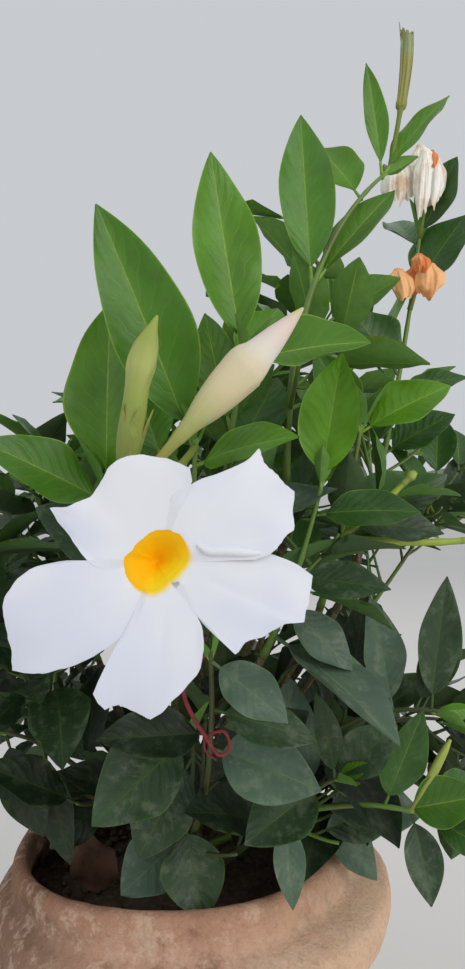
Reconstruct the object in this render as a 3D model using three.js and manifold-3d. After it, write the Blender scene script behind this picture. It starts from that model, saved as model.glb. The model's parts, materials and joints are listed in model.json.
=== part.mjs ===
// Potted mandevilla: a bushy twining shrub with one open white bloom,
// growing from a short woody base in a round-shouldered earthenware pot.
// Millimetres, +Z up. The origin is the centre of the pot's flat underside,
// +X is the viewer's right and the bloom faces -Y.
import * as THREE from 'three';
import { mergeVertices } from 'three/addons/utils/BufferGeometryUtils.js';
import Module from 'manifold-3d';

const wasm = await Module();
wasm.setup();

// Driving sizes of the pot
const MOUTH_RADIUS = 80;
const POT_HEIGHT = 190;
const POT_WALL = 8;
const LIP_RADIUS = MOUTH_RADIUS + POT_WALL;
const LIP_ROUNDING = 3;
const FOOT_RADIUS = 68;
const FLOOR_THICKNESS = 13;
const SHOULDER_RADIUS = 104;
const SHOULDER_HEIGHT = 162;
const SHOULDER_LEAN = 6;
const SHOULDER_TILT = 5;
const LIP_DROP = 8;
const LIP_EASE = 4;
const SOIL_HEIGHT = 160;
const SOIL_GAP = 0.7;
const POT_SIDES = 32;

// Driving sizes of the woody base and the stems
const CLEARANCE = 0.3;
const BUILD_GAP = 0.36;
const TRUNK_TOP = 192;
const TRUNK_RADIUS = 12;
const TRUNK_FLARE = 6;
const FLARE_SHARE = 0.45;
const TRUNK_TAPER = 0.8;
const CROWN_SHARE = 0.86;
const CROWN_ROUNDING = 2;
const ROOT_DEPTH = 4;
const BOUGH_RADIUS = 2.4;
const SHOOT_RADIUS = 1.7;
const LOW_SHOOT_RADIUS = 2.1;
const TWIG_RADIUS = 1.1;
const TIP_RADIUS = 0.9;
const STEP_LENGTH = 18;

// Driving sizes of the foliage
const LEAF_LENGTH = 68;
const TWIG_LEAF_LENGTH = 58;
const LEAF_SLENDERNESS = 0.5;
const LEAF_THICKNESS = 1.1;
const PETIOLE_SHARE = 0.13;
const PETIOLE_RADIUS = 0.8;
const FOOT_SHARE = 0.36;
const LAST_NODE = 0.96;
const NODE_SPACING = 27;
const WIDEST_ANGLE = 74;
const ANGLE_CLOSING = 30;
const TWIG_LENGTH = 30;
const FRONT_TWIGS = 1;
const OTHER_TWIGS = 3;
const SEEDED_REACH = 72;
const FRONT_LIMIT = -140;
const LOWEST_TIP = SHOULDER_HEIGHT + 12;
const LOWEST_FRONT_TIP = POT_HEIGHT + 14;
const BARE_SHARE = 0.35;
const FILLED_SHARE = 0.36;
const FIRST_SEED = 100;
const SMOOTHING = 0.1;

// Driving sizes of the open bloom and its buds
const BLOOM_DEPTH = 30;
const THROAT_RADIUS = 10;
const PETAL_FOLD = 0.62;
const STALK_RADIUS = 1.4;
const PEDICEL_RADIUS = 1.2;

// Radius of the larger buds along them: share of the bud's length and radius there
const SLIM_BUD = [[0, 3.2], [0.3, 3.3], [0.48, 3.6], [0.66, 4.9], [0.8, 4], [0.92, 1.8], [1, 0.5]];
const PALE_BUD = [[0, 1.9], [0.14, 2.2], [0.34, 5], [0.52, 7], [0.64, 7.2], [0.78, 5], [0.92, 2], [1, 0.5]];
const SPENT_BUD = [[0, 1.3], [0.48, 1.3], [0.55, 2.6], [0.96, 2.5], [1, 2.1]];
const SHAPED_BUD_STEPS = 10;

const UP = new THREE.Vector3(0, 0, 1);
const LIGHT = new THREE.Vector3(-0.15, -0.85, 0.5);

// Where the boughs and low shoots leave the woody base: distance from its axis, height and steepness
const TIERS = {
  inner: { radius: 4.2, height: TRUNK_TOP, rise: 84 },
  crown: { radius: 9.6, height: TRUNK_TOP - 3, rise: 66 },
  side: { radius: 11.6, height: TRUNK_TOP - 13, rise: 30 },
  low: { radius: 12.4, height: TRUNK_TOP - 22, rise: 12 },
};

// One entry for each foliage mass. root is its tier and bearing on the woody base, bough the point
// where its own shoot begins, bend pulls that shoot sideways and tip is its growing point. leaves
// are the ones that show in front: share of the shoot, bearing, elevation, length and width. buds
// and wilted flowers are given the same way with a radius at the end, spent buds and runners
// without one. raceme is the point where the stalks of the bloom and its two buds part.
const SHOOTS = [
  {
    name: 'top', root: ['inner', -30],
    bough: [50, -86, 372], bend: [46, -112, 462], tip: [96, -73, 510],
    leaves: [
      [0.5, 170, 87, 74, 23], [0.52, 17, 55, 60, 20], [0.84, 128, 56, 44, 20],
      [0.97, -160, 82, 50, 10], [0.98, 7, 57, 52, 15],
    ],
    spent: [[1, 16, 81, 63]],
  },
  {
    name: 'bloom', root: ['crown', -105],
    bough: [8, -98, 318], bend: [12, -125, 352], tip: [14, -134, 389],
    leaves: [[0.93, -140, 64, 89, 28], [0.86, -48, 16, 46, 20]],
    raceme: [1, -163, 372],
  },
  {
    name: 'left', root: ['crown', -145],
    bough: [-16, -92, 312], bend: [-20, -116, 340], tip: [-19, -128, 371],
    leaves: [[0.97, -80, 86, 70, 29], [0.9, -138, 29, 50, 25]],
  },
  {
    name: 'middle', root: ['inner', -120],
    bough: [22, -85, 350], bend: [24, -112, 385], tip: [32, -124, 420],
    leaves: [
      [0.97, -150, 80, 78, 26], [1, -22, 12, 46, 33], [0.9, 60, 52, 46, 20], [0.6, 150, 76, 50, 18],
    ],
  },
  {
    name: 'right_front', root: ['crown', -67],
    bough: [40, -86, 300], bend: [50, -108, 325], tip: [62, -112, 374],
    leaves: [
      [0.98, -60, 76, 52, 24], [0.85, -24, 8, 40, 19], [0.55, -34, 3, 38, 16], [0.4, -22, -38, 36, 18],
    ],
  },
  {
    name: 'right', root: ['crown', -29],
    bough: [66, -70, 318], bend: [72, -96, 350], tip: [78, -104, 396],
    leaves: [[0.96, -10, 33, 40, 26], [0.55, -16, -2, 40, 18], [0.98, 150, 62, 40, 17]],
    runners: [[0.45, 2, -6, 62], [0.45, 4, 36, 40]],
  },
  {
    name: 'far_right', root: ['crown', 10],
    bough: [90, -42, 345], bend: [106, -48, 410], tip: [120, -34, 500],
    leaves: [
      [0.3, -12, 35, 38, 20], [0.55, -165, 56, 40, 26], [0.5, -12, 17, 34, 16], [0.8, -14, 60, 46, 29],
      [0.93, 100, 45, 42, 22], [1, -40, 63, 40, 20],
    ],
    wilted: [[0.96, -150, 75, 30, 9], [0.75, -110, 62, 24, 9]],
  },
  {
    name: 'low_right', root: ['side', -52], bough: null, bend: [70, -84, 250], tip: [114, -97, 234],
    leaves: [
      [0.82, -36, 68, 46, 18], [0.88, -37, 25, 34, 20], [0.9, -77, -55, 34, 15], [0.99, -45, -8, 30, 15],
      [0.97, 40, 20, 36, 17],
    ],
    buds: [[0.9, -20, 63, 34, 1.9], [0.95, -25, 41, 30, 1.8]],
  },
  {
    name: 'right_low', root: ['side', -22], bough: null, bend: [62, -60, 280], tip: [121, -74, 272],
    leaves: [
      [0.7, -45, 78, 66, 20], [0.86, -128, 70, 56, 19], [0.99, -40, 82, 60, 19], [0.92, 10, 62, 46, 17],
    ],
  },
  {
    name: 'front_right', root: ['low', -66], bough: null, bend: [50, -70, 235], tip: [72, -98, 254],
    leaves: [
      [0.98, -129, 70, 40, 12], [1, -25, 47, 34, 19], [0.9, -150, -20, 40, 25], [0.7, -85, -62, 38, 14],
    ],
  },
  {
    name: 'front', root: ['side', -84], bough: null, bend: [22, -95, 240], tip: [19, -138, 318],
    leaves: [
      [1, -28, -28, 34, 18], [0.86, -15, -9, 40, 18], [0.76, -33, -5, 46, 27], [0.8, -150, 10, 44, 22],
    ],
  },
  {
    name: 'front_low', root: ['low', -100], bough: null, bend: [14, -60, 225], tip: [10, -98, 275],
    leaves: [
      [0.98, -143, -25, 50, 31], [0.88, -140, -48, 44, 27], [0.6, -66, -58, 40, 28],
      [0.5, -145, -24, 34, 26],
    ],
  },
  {
    name: 'left_low', root: ['side', -122], bough: null, bend: [-45, -50, 255], tip: [-78, -70, 262],
    leaves: [
      [0.45, -150, -24, 34, 22], [0.8, -51, -66, 52, 18], [0.98, -40, -58, 46, 20],
      [1, -150, 10, 50, 22],
    ],
  },
  {
    name: 'left_side', root: ['side', -160],
    bough: [-55, -20, 250], bend: [-80, -40, 285], tip: [-112, -50, 326],
  },
  {
    name: 'left_back', root: ['crown', 170],
    bough: [-50, 28, 270], bend: [-72, 45, 320], tip: [-98, 58, 372],
  },
  {
    name: 'back_left', root: ['crown', 128],
    bough: [-28, 52, 290], bend: [-38, 75, 350], tip: [-52, 88, 415],
  },
  {
    name: 'back', root: ['side', 88],
    bough: [10, 60, 280], bend: [14, 92, 330], tip: [16, 116, 385],
  },
  {
    name: 'back_right', root: ['crown', 52],
    bough: [48, 48, 290], bend: [66, 70, 350], tip: [82, 84, 425],
  },
  {
    name: 'right_side', root: ['side', 16],
    bough: [72, 10, 266], bend: [108, 15, 305], tip: [138, 18, 352],
  },
  {
    name: 'centre', root: ['inner', 150],
    bough: [2, -24, 320], bend: [-4, -18, 365], tip: [-12, -34, 402],
  },
  {
    name: 'centre_back', root: ['inner', 60],
    bough: [22, 16, 320], bend: [32, 22, 385], tip: [44, 14, 450],
  },
  {
    name: 'back_low_left', root: ['side', 140],
    bough: null, bend: [-70, 55, 262], tip: [-108, 76, 244],
  },
  {
    name: 'back_low', root: ['low', 108],
    bough: null, bend: [0, 80, 262], tip: [4, 128, 248],
  },
  {
    name: 'back_low_right', root: ['side', 48],
    bough: null, bend: [74, 72, 262], tip: [104, 96, 244],
  },
  {
    name: 'right_low_back', root: ['low', -4],
    bough: null, bend: [80, -10, 262], tip: [138, -24, 252],
  },
];

// Petals as seen from the front: the bearings between which each lies, and its edge's distance
// from the throat at even steps between them
const PETALS = [
  { from: 179, to: 67, edge: [20, 33, 27.5, 31.5, 30.5, 27] },
  { from: 66, to: 4, edge: [25, 35, 43.5, 44.5, 42, 33] },
  { from: 3, to: -52, edge: [33, 45.5, 46.5, 41.5, 37, 30] },
  { from: -53, to: -115, edge: [21, 32, 38, 45, 42.5, 41] },
  { from: -116, to: -179, edge: [30, 39, 48, 48, 43.5, 25] },
];
const BLOOM_CENTRE = new THREE.Vector3(5, -184, 350);
const BLOOM_FACING = bearing(-84, 6);

// The two buds above the bloom
const RACEME_BUDS = [
  { foot: [-6, -163, 378], azimuth: 18, elevation: 79, length: 48, profile: SLIM_BUD },
  { foot: [4.5, -163, 380], azimuth: 11, elevation: 45, length: 68, profile: PALE_BUD },
];

// Unit vector from a bearing (0 along +X, 90 along +Y) and an elevation, in degrees
function bearing(azimuth, elevation) {
  const across = THREE.MathUtils.degToRad(azimuth);
  const upward = THREE.MathUtils.degToRad(elevation);
  return new THREE.Vector3(
    Math.cos(upward) * Math.cos(across),
    Math.cos(upward) * Math.sin(across),
    Math.sin(upward),
  );
}

// Repeatable random numbers from 0 to 1
function randomFrom(seed) {
  let state = seed >>> 0;
  return () => {
    state = (state + 0x6d2b79f5) >>> 0;
    let mixed = Math.imul(state ^ (state >>> 15), state | 1);
    mixed ^= mixed + Math.imul(mixed ^ (mixed >>> 7), mixed | 61);
    return ((mixed ^ (mixed >>> 14)) >>> 0) / 4294967296;
  };
}

// The part of vector that is square to axis, at unit length
function squareTo(vector, axis) {
  return vector.clone().addScaledVector(axis, -vector.dot(axis)).normalize();
}

// Solids from vertices and triangles, and geometry back from a solid
function solidFrom(points, faces) {
  const vertProperties = new Float32Array(points.flatMap((point) => point.toArray()));
  const triVerts = new Uint32Array(faces.flat());
  return new wasm.Manifold(new wasm.Mesh({ numProp: 3, vertProperties, triVerts }));
}

function solidFromGeometry(geometry) {
  geometry.deleteAttribute('normal');
  geometry.deleteAttribute('uv');
  const merged = mergeVertices(geometry, 1e-4);
  const vertProperties = new Float32Array(merged.attributes.position.array);
  const triVerts = new Uint32Array(merged.index.array);
  return new wasm.Manifold(new wasm.Mesh({ numProp: 3, vertProperties, triVerts }));
}

function geometryFromSolid(solid) {
  const mesh = solid.getMesh();
  const geometry = new THREE.BufferGeometry();
  const positions = new Float32Array(mesh.numVert * 3);
  for (let i = 0; i < mesh.numVert; i += 1) {
    for (let axis = 0; axis < 3; axis += 1) {
      positions[3 * i + axis] = mesh.vertProperties[mesh.numProp * i + axis];
    }
  }
  geometry.setAttribute('position', new THREE.BufferAttribute(positions, 3));
  geometry.setIndex(new THREE.BufferAttribute(new Uint32Array(mesh.triVerts), 1));
  geometry.computeVertexNormals();
  return geometry;
}

// The largest body of a solid, without loose scraps
function mainBody(solid) {
  const bodies = solid.decompose();
  return bodies.reduce((best, body) => (body.volume() > best.volume() ? body : best));
}

// Pot and potting soil. The hand-made shoulder stands further out and higher on one side, and the
// lip hangs lower on the other.
function shoulderShare(height) {
  const { smoothstep } = THREE.MathUtils;
  return height < SHOULDER_HEIGHT
    ? smoothstep(height, 0, SHOULDER_HEIGHT)
    : 1 - smoothstep(height, SHOULDER_HEIGHT, POT_HEIGHT - LIP_EASE);
}

function lipDrop(height, across) {
  const { smoothstep } = THREE.MathUtils;
  const lipShare = smoothstep(height, SHOULDER_HEIGHT + LIP_EASE, POT_HEIGHT - LIP_EASE);
  return LIP_DROP * lipShare * Math.max(0, -across) ** 2;
}

function turned(profile) {
  const outline = profile.map(([radius, height]) => new THREE.Vector2(radius, height));
  const geometry = new THREE.LatheGeometry(outline, POT_SIDES);
  geometry.rotateX(Math.PI / 2);
  const position = geometry.attributes.position;
  for (let i = 0; i < position.count; i += 1) {
    const x = position.getX(i);
    const y = position.getY(i);
    const z = position.getZ(i);
    const radius = Math.hypot(x, y);
    if (radius > 1) {
      const share = shoulderShare(z) * (radius / SHOULDER_RADIUS) ** 4 * (x / radius);
      const scale = 1 + (SHOULDER_LEAN * share) / radius;
      position.setXYZ(i, x * scale, y * scale, z + SHOULDER_TILT * share - lipDrop(z, x / radius));
    }
  }
  return solidFromGeometry(geometry);
}

// Outside from the foot to the lip, as radius and height
const POT_OUTSIDE = [
  [FOOT_RADIUS - 3, 0], [FOOT_RADIUS, 3], [FOOT_RADIUS + 12, 50], [FOOT_RADIUS + 22, 100],
  [FOOT_RADIUS + 26, 128], [FOOT_RADIUS + 31, 139], [SHOULDER_RADIUS - 1, 147], [SHOULDER_RADIUS, 156],
  [SHOULDER_RADIUS - 2, 164], [SHOULDER_RADIUS - 9, 170], [LIP_RADIUS + 1, 174],
  [LIP_RADIUS, POT_HEIGHT - 6], [LIP_RADIUS - LIP_ROUNDING / 2, POT_HEIGHT - LIP_ROUNDING / 2],
];

// Inside from the lip down to the floor
const POT_INSIDE = [
  [MOUTH_RADIUS + LIP_ROUNDING, POT_HEIGHT], [MOUTH_RADIUS, POT_HEIGHT - LIP_ROUNDING],
  [MOUTH_RADIUS, 175], [SHOULDER_RADIUS - 15, 164], [SHOULDER_RADIUS - 11, 153], [FOOT_RADIUS + 18, 132],
  [FOOT_RADIUS + 13, 100], [FOOT_RADIUS + 3, 50], [FOOT_RADIUS - 9, FLOOR_THICKNESS],
];

function potSolid() {
  return turned([[0, 0], ...POT_OUTSIDE, ...POT_INSIDE, [0, FLOOR_THICKNESS], [0, 0]]);
}

function soilSolid() {
  const bottom = FLOOR_THICKNESS + CLEARANCE;
  const beside = POT_INSIDE
    .filter(([, height]) => height > bottom && height < SOIL_HEIGHT - 3)
    .map(([radius, height]) => [radius - SOIL_GAP, height])
    .reverse();
  const edge = [SHOULDER_RADIUS - 14, SOIL_HEIGHT - 2];
  const crest = [[TRUNK_RADIUS * 3, SOIL_HEIGHT], [0, SOIL_HEIGHT]];
  return turned([[0, bottom], [FOOT_RADIUS - 12, bottom], ...beside, edge, ...crest]);
}

// The unit spoke that stands square to a curve, turned about it by an angle from an untwisted start
function spokeFrom(curve, share, turn) {
  const chord = curve.getPoint(1).sub(curve.getPoint(0)).normalize();
  const reference = Math.abs(chord.z) > 0.95 ? new THREE.Vector3(1, 0, 0) : chord.cross(UP);
  const ahead = curve.getTangent(share);
  const across = squareTo(reference, ahead);
  const beside = ahead.cross(across);
  return across.multiplyScalar(Math.cos(turn)).addScaledVector(beside, Math.sin(turn));
}

// A limb's axis runs straight between even steps of its curve
function stepsOf(curve) {
  return Math.max(3, Math.round(curve.getLength() / STEP_LENGTH));
}

function axisPoint(curve, share) {
  const steps = stepsOf(curve);
  const place = Math.min(share, LAST_NODE) * steps;
  const step = Math.floor(place);
  return curve.getPoint(step / steps).lerp(curve.getPoint((step + 1) / steps), place - step);
}

// A tapering limb round a curve, with radiusAt giving its radius along it
function limbSolid(curve, steps, sides, radiusAt) {
  const points = [];
  const faces = [];
  for (let i = 0; i <= steps; i += 1) {
    for (let k = 0; k < sides; k += 1) {
      const spoke = spokeFrom(curve, i / steps, (2 * Math.PI * k) / sides);
      points.push(curve.getPoint(i / steps).addScaledVector(spoke, radiusAt(i / steps)));
    }
  }
  for (let i = 0; i < steps; i += 1) {
    for (let k = 0; k < sides; k += 1) {
      const near = i * sides + k;
      const next = i * sides + ((k + 1) % sides);
      faces.push([near, next, next + sides], [near, next + sides, near + sides]);
    }
  }
  const last = steps * sides;
  for (let k = 1; k < sides - 1; k += 1) {
    faces.push([0, k + 1, k], [last, last + k, last + k + 1]);
  }
  return solidFrom(points, faces);
}

// The woody base, from its flat cut on the soil through the root flare to the knob that the shoots leave
function trunkRadius(share) {
  const flare = TRUNK_FLARE * (1 - THREE.MathUtils.smoothstep(share, 0, FLARE_SHARE));
  const rounding = CROWN_ROUNDING * (Math.max(0, share - CROWN_SHARE) / (1 - CROWN_SHARE)) ** 2;
  return TRUNK_RADIUS + flare - rounding - TRUNK_TAPER * share;
}

function trunkSolid(swell) {
  const leaning = new THREE.CubicBezierCurve3(
    new THREE.Vector3(2, 3, SOIL_HEIGHT - 4),
    new THREE.Vector3(1, 2, SOIL_HEIGHT + 8),
    new THREE.Vector3(-1, -1, TRUNK_TOP - 12),
    new THREE.Vector3(0, 0, TRUNK_TOP + swell),
  );
  const whole = limbSolid(leaning, 10, 14, (share) => trunkRadius(share) + swell);
  return whole.trimByPlane([0, 0, 1], SOIL_HEIGHT + CLEARANCE - swell);
}

// Bough and shoot curves of one entry of SHOOTS
function rootOf(shoot) {
  const [tierName, azimuth] = shoot.root;
  const tier = TIERS[tierName];
  const ahead = bearing(azimuth, tier.rise);
  const point = bearing(azimuth, 0).multiplyScalar(tier.radius).setZ(tier.height);
  return { point: point.addScaledVector(ahead, -ROOT_DEPTH), ahead };
}

function curvesOf(shoot) {
  const root = rootOf(shoot);
  const tip = new THREE.Vector3(...shoot.tip);
  const bend = new THREE.Vector3(...shoot.bend);
  if (!shoot.bough) {
    const reach = root.point.distanceTo(tip);
    const second = root.point.clone().addScaledVector(root.ahead, reach * 0.3);
    return { bough: null, shoot: new THREE.CubicBezierCurve3(root.point, second, bend, tip) };
  }
  const end = new THREE.Vector3(...shoot.bough);
  const ahead = bend.clone().sub(end).normalize();
  const reach = root.point.distanceTo(end);
  const first = root.point.clone().addScaledVector(root.ahead, reach * 0.38);
  const second = end.clone().addScaledVector(ahead, -reach * 0.33);
  const start = end.clone().addScaledVector(ahead, BUILD_GAP);
  return {
    bough: new THREE.CubicBezierCurve3(root.point, first, second, end),
    shoot: new THREE.QuadraticBezierCurve3(start, bend, tip),
  };
}

// Half width of a leaf along its length, as a share of its widest half width
function bladeShare(share) {
  const along = Math.max(0, (share - PETIOLE_SHARE) / (1 - PETIOLE_SHARE));
  return Math.sin(Math.PI * along ** 0.86) ** 0.85;
}

// A leaf is a stalk and a folded, arched blade, pointed at both ends; rows are the places along it
// where it is cut into faces
function leafSolid(leaf, rows) {
  const side = leaf.along.clone().cross(leaf.face).normalize();
  const spine = (share) => (
    leaf.foot.clone()
      .addScaledVector(leaf.along, leaf.length * share)
      .addScaledVector(leaf.face, -leaf.length * leaf.arch * share * share)
  );
  const offset = (share, across, lift) => (
    spine(share).addScaledVector(side, across).addScaledVector(leaf.face, lift)
  );
  const points = rows.flatMap((share) => {
    const stalk = share <= PETIOLE_SHARE;
    const half = stalk ? PETIOLE_RADIUS : leaf.halfWidth * bladeShare(share);
    const lift = stalk ? 0 : half * leaf.fold;
    const thick = stalk ? PETIOLE_RADIUS : LEAF_THICKNESS / 2;
    const beside = [offset(share, half, lift), offset(share, -half, lift)];
    return [beside[0], offset(share, 0, thick), beside[1], offset(share, 0, -thick)];
  });
  const footEnd = points.push(spine(Math.max(0, rows[0] - FOOT_SHARE))) - 1;
  const tipEnd = points.push(spine(1)) - 1;
  const last = 4 * (rows.length - 1);
  const faces = [];
  for (let k = 0; k < 4; k += 1) {
    const beside = (k + 1) % 4;
    faces.push([footEnd, k, beside], [last + k, tipEnd, last + beside]);
    for (let row = 0; row < last; row += 4) {
      const near = row + k;
      const next = row + beside;
      if (k % 2 === 0) {
        faces.push([near, next + 4, next], [near, near + 4, next + 4]);
      } else {
        faces.push([near, near + 4, next], [near + 4, next + 4, next]);
      }
    }
  }
  return solidFrom(points, faces);
}

const SHOWN_ROWS = [PETIOLE_SHARE, 0.34, 0.62, 0.84];
const SEEDED_ROWS = [0.34, 0.7];
const BLADE_ROWS = [0.4, 0.7];

// A leaf that grows from foot along a direction, its upper face towards the shoot's growing end
function leafFrom(foot, along, stemAhead, length, width, fold, arch, skyward) {
  const face = squareTo(stemAhead, along).addScaledVector(squareTo(UP, along), skyward);
  return { foot, along, face: squareTo(face, along), length, halfWidth: width / 2, fold, arch };
}

function shownLeaves(shoot, curve) {
  return (shoot.leaves ?? []).map(([share, azimuth, elevation, length, width]) => {
    const along = bearing(azimuth, elevation);
    const upright = elevation > 60;
    const leaf = leafFrom(
      axisPoint(curve, share), along, curve.getTangent(share), length, width,
      upright ? 0.3 : 0.22, upright ? 0.06 : 0.16, 0.8,
    );
    leaf.face = squareTo(leaf.face.multiplyScalar(0.25).add(squareTo(LIGHT, along)), along);
    return leaf;
  });
}

// The seeded rule: crossed pairs of leaves along a stem, larger and wider open towards its foot
function pairsAlong(curve, from, to, length, random) {
  const pairs = [];
  const count = Math.max(2, Math.round((curve.getLength() * (to - from)) / NODE_SPACING));
  const firstTurn = random() * Math.PI;
  for (let i = 1; i <= count; i += 1) {
    const share = from + ((to - from) * i) / count;
    const ahead = curve.getTangent(share);
    const spoke = spokeFrom(curve, share, firstTurn + (i * Math.PI) / 2 + (random() - 0.5) * 0.5);
    const open = THREE.MathUtils.degToRad(WIDEST_ANGLE - ANGLE_CLOSING * share + 16 * (random() - 0.5));
    const size = length * (1.08 - 0.34 * share) * (0.88 + 0.24 * random());
    for (const way of [1, -1]) {
      const along = ahead.clone().multiplyScalar(Math.cos(open));
      along.addScaledVector(spoke, way * Math.sin(open));
      along.z -= 0.12 * (1 - share);
      const fold = 0.2 + 0.14 * random();
      const arch = 0.1 + 0.12 * random();
      const foot = axisPoint(curve, share);
      const width = size * LEAF_SLENDERNESS;
      pairs.push(leafFrom(foot, along.normalize(), ahead, size, width, fold, arch, 0.7));
    }
  }
  return pairs;
}

// Side twigs leave the shoot at seeded nodes, each with its own crossed pairs
function sideTwigs(curve, from, to, count, random) {
  return Array.from({ length: count }, (_, i) => {
    const share = from + ((to - from) * (i + 0.5)) / count;
    const spoke = spokeFrom(curve, share, random() * 2 * Math.PI);
    const along = curve.getTangent(share).multiplyScalar(0.6).addScaledVector(spoke, 0.8);
    const length = TWIG_LENGTH * (1 + random() / 2);
    const foot = axisPoint(curve, share);
    const middle = foot.clone().addScaledVector(along, length * 0.55);
    const end = foot.clone().addScaledVector(along, length).addScaledVector(UP, 0.2 * length);
    return new THREE.QuadraticBezierCurve3(foot, middle, end);
  });
}

// Buds, runners and flowers
function budCurve(foot, ahead, length) {
  return new THREE.QuadraticBezierCurve3(
    foot,
    foot.clone().addScaledVector(ahead, length * 0.5),
    foot.clone().addScaledVector(ahead, length).addScaledVector(UP, length * 0.04),
  );
}

function budSolid(foot, ahead, length, radius, stalk, sides) {
  return limbSolid(budCurve(foot, ahead, length), 8, sides, (share) => {
    const along = Math.max(0, (share - stalk) / (1 - stalk));
    return Math.max(0.5, 0.75 * (1 - share), radius * Math.sin(Math.PI * along ** 0.8) ** 0.9);
  });
}

// A larger bud that follows one of the radius lists above
function shapedBud(foot, ahead, length, profile, sides) {
  return limbSolid(budCurve(foot, ahead, length), SHAPED_BUD_STEPS, sides, (share) => {
    const next = Math.max(1, profile.findIndex(([place]) => place >= share));
    const [from, before] = profile[next - 1];
    const [to, after] = profile[next];
    return before + ((after - before) * (share - from)) / (to - from);
  });
}

// Rings of the bloom as distance from its axis and height: the front from the throat out to the
// petals' edge, then the back down to the end of the tube
const THROAT_DEPTH = 17;
const BLOOM_RINGS = [
  () => [2.2, 1 - THROAT_DEPTH],
  () => [6.4, -5],
  () => [THROAT_RADIUS, 0],
  (edge) => [edge * PETAL_FOLD, 1.6],
  (edge) => [edge, -0.8],
  (edge) => [edge * PETAL_FOLD, 0.2],
  () => [THROAT_RADIUS + 0.4, -1.8],
  () => [7.6, -7],
  () => [4.6, -16],
  () => [2, -BLOOM_DEPTH],
];

function bloomSolid() {
  const right = UP.clone().cross(BLOOM_FACING).normalize();
  const top = BLOOM_FACING.clone().cross(right);
  const spokes = PETALS.flatMap(({ from, to, edge }) => edge.map((radius, i) => {
    const turn = THREE.MathUtils.degToRad(from + ((to - from) * i) / (edge.length - 1));
    const spoke = right.clone().multiplyScalar(Math.cos(turn)).addScaledVector(top, Math.sin(turn));
    return { radius, spoke };
  }));
  const place = (spoke, radius, depth) => (
    BLOOM_CENTRE.clone().addScaledVector(spoke, radius).addScaledVector(BLOOM_FACING, depth)
  );
  const count = spokes.length;
  const points = BLOOM_RINGS.flatMap((ring) => (
    spokes.map(({ radius, spoke }) => place(spoke, ...ring(radius)))
  ));
  points.push(place(right, 0, -THROAT_DEPTH), place(right, 0, -BLOOM_DEPTH));
  const throat = count * BLOOM_RINGS.length;
  const last = throat - count;
  const faces = [];
  for (let i = 0; i < count; i += 1) {
    const next = (i + 1) % count;
    for (let near = 0; near < last; near += count) {
      faces.push([near + i, near + next, near + count + next]);
      faces.push([near + i, near + count + next, near + count + i]);
    }
    faces.push([throat, next, i], [last + i, last + next, throat + 1]);
  }
  return solidFrom(points, faces);
}

// The flower stalk that carries the bloom and the two buds above it
function racemeSolids(shoot, curve) {
  const hub = new THREE.Vector3(...shoot.raceme);
  const foot = axisPoint(curve, 0.95);
  const sag = foot.clone().lerp(hub, 0.5).addScaledVector(UP, -4);
  const stalk = new THREE.QuadraticBezierCurve3(foot, sag, hub);
  const tubeEnd = BLOOM_CENTRE.clone().addScaledVector(BLOOM_FACING, -BLOOM_DEPTH + 2);
  const budFeet = RACEME_BUDS.map(({ foot: budFoot }) => new THREE.Vector3(...budFoot));
  const pedicels = [tubeEnd, ...budFeet].map((end) => {
    const bow = hub.clone().lerp(end, 0.5).add(new THREE.Vector3(0, 2, -1));
    return limbSolid(new THREE.QuadraticBezierCurve3(hub, bow, end), 4, 5, () => PEDICEL_RADIUS);
  });
  const buds = RACEME_BUDS.map(({ azimuth, elevation, length, profile }, i) => (
    shapedBud(budFeet[i], bearing(azimuth, elevation), length, profile, 8)
  ));
  return [limbSolid(stalk, 4, 5, () => STALK_RADIUS), ...pedicels, bloomSolid(), ...buds];
}

function runnerSolid(foot, azimuth, elevation, length) {
  const ahead = bearing(azimuth, elevation);
  const end = foot.clone().addScaledVector(ahead, length).addScaledVector(UP, length * 0.1);
  return limbSolid(
    new THREE.QuadraticBezierCurve3(foot, foot.clone().addScaledVector(ahead, length * 0.6), end),
    5, 3, (share) => 1.3 - 0.5 * share,
  );
}

// Growing the masses: each solid is kept with its box, and a new one stays clear of the rest
function kept(solid) {
  return { solid, box: solid.boundingBox() };
}

function touches(solid, others) {
  const box = solid.boundingBox();
  return others.some((other) => {
    const near = other.box;
    for (let axis = 0; axis < 3; axis += 1) {
      if (box.min[axis] > near.max[axis] + 1 || box.max[axis] < near.min[axis] - 1) {
        return false;
      }
    }
    return solid.minGap(other.solid, 1) < BUILD_GAP;
  });
}

// The stem of a mass, and the flowers, buds and runners that it carries
function stemSolids(shoot, curve, base) {
  const foot = shoot.bough ? SHOOT_RADIUS : LOW_SHOOT_RADIUS;
  const sides = shoot.leaves ? 4 : 3;
  const stem = limbSolid(curve, stepsOf(curve), sides, (share) => foot + (TIP_RADIUS - foot) * share);
  const flowers = [
    ...(shoot.buds ?? []).map(([share, azimuth, elevation, length, radius]) => (
      budSolid(axisPoint(curve, share), bearing(azimuth, elevation), length, radius, 0.3, 6)
    )),
    ...(shoot.spent ?? []).map(([share, azimuth, elevation, length]) => (
      shapedBud(axisPoint(curve, share), bearing(azimuth, elevation), length, SPENT_BUD, 6)
    )),
    ...(shoot.wilted ?? []).map(([share, azimuth, elevation, length, radius]) => (
      budSolid(axisPoint(curve, share), bearing(azimuth, elevation), length, radius, 0.35, 7)
    )),
    ...(shoot.runners ?? []).map(([share, azimuth, elevation, length]) => (
      runnerSolid(axisPoint(curve, share), azimuth, elevation, length)
    )),
    ...(shoot.raceme ? racemeSolids(shoot, curve) : []),
  ];
  return [shoot.bough ? stem : stem.subtract(base), ...flowers].map(kept);
}

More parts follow.
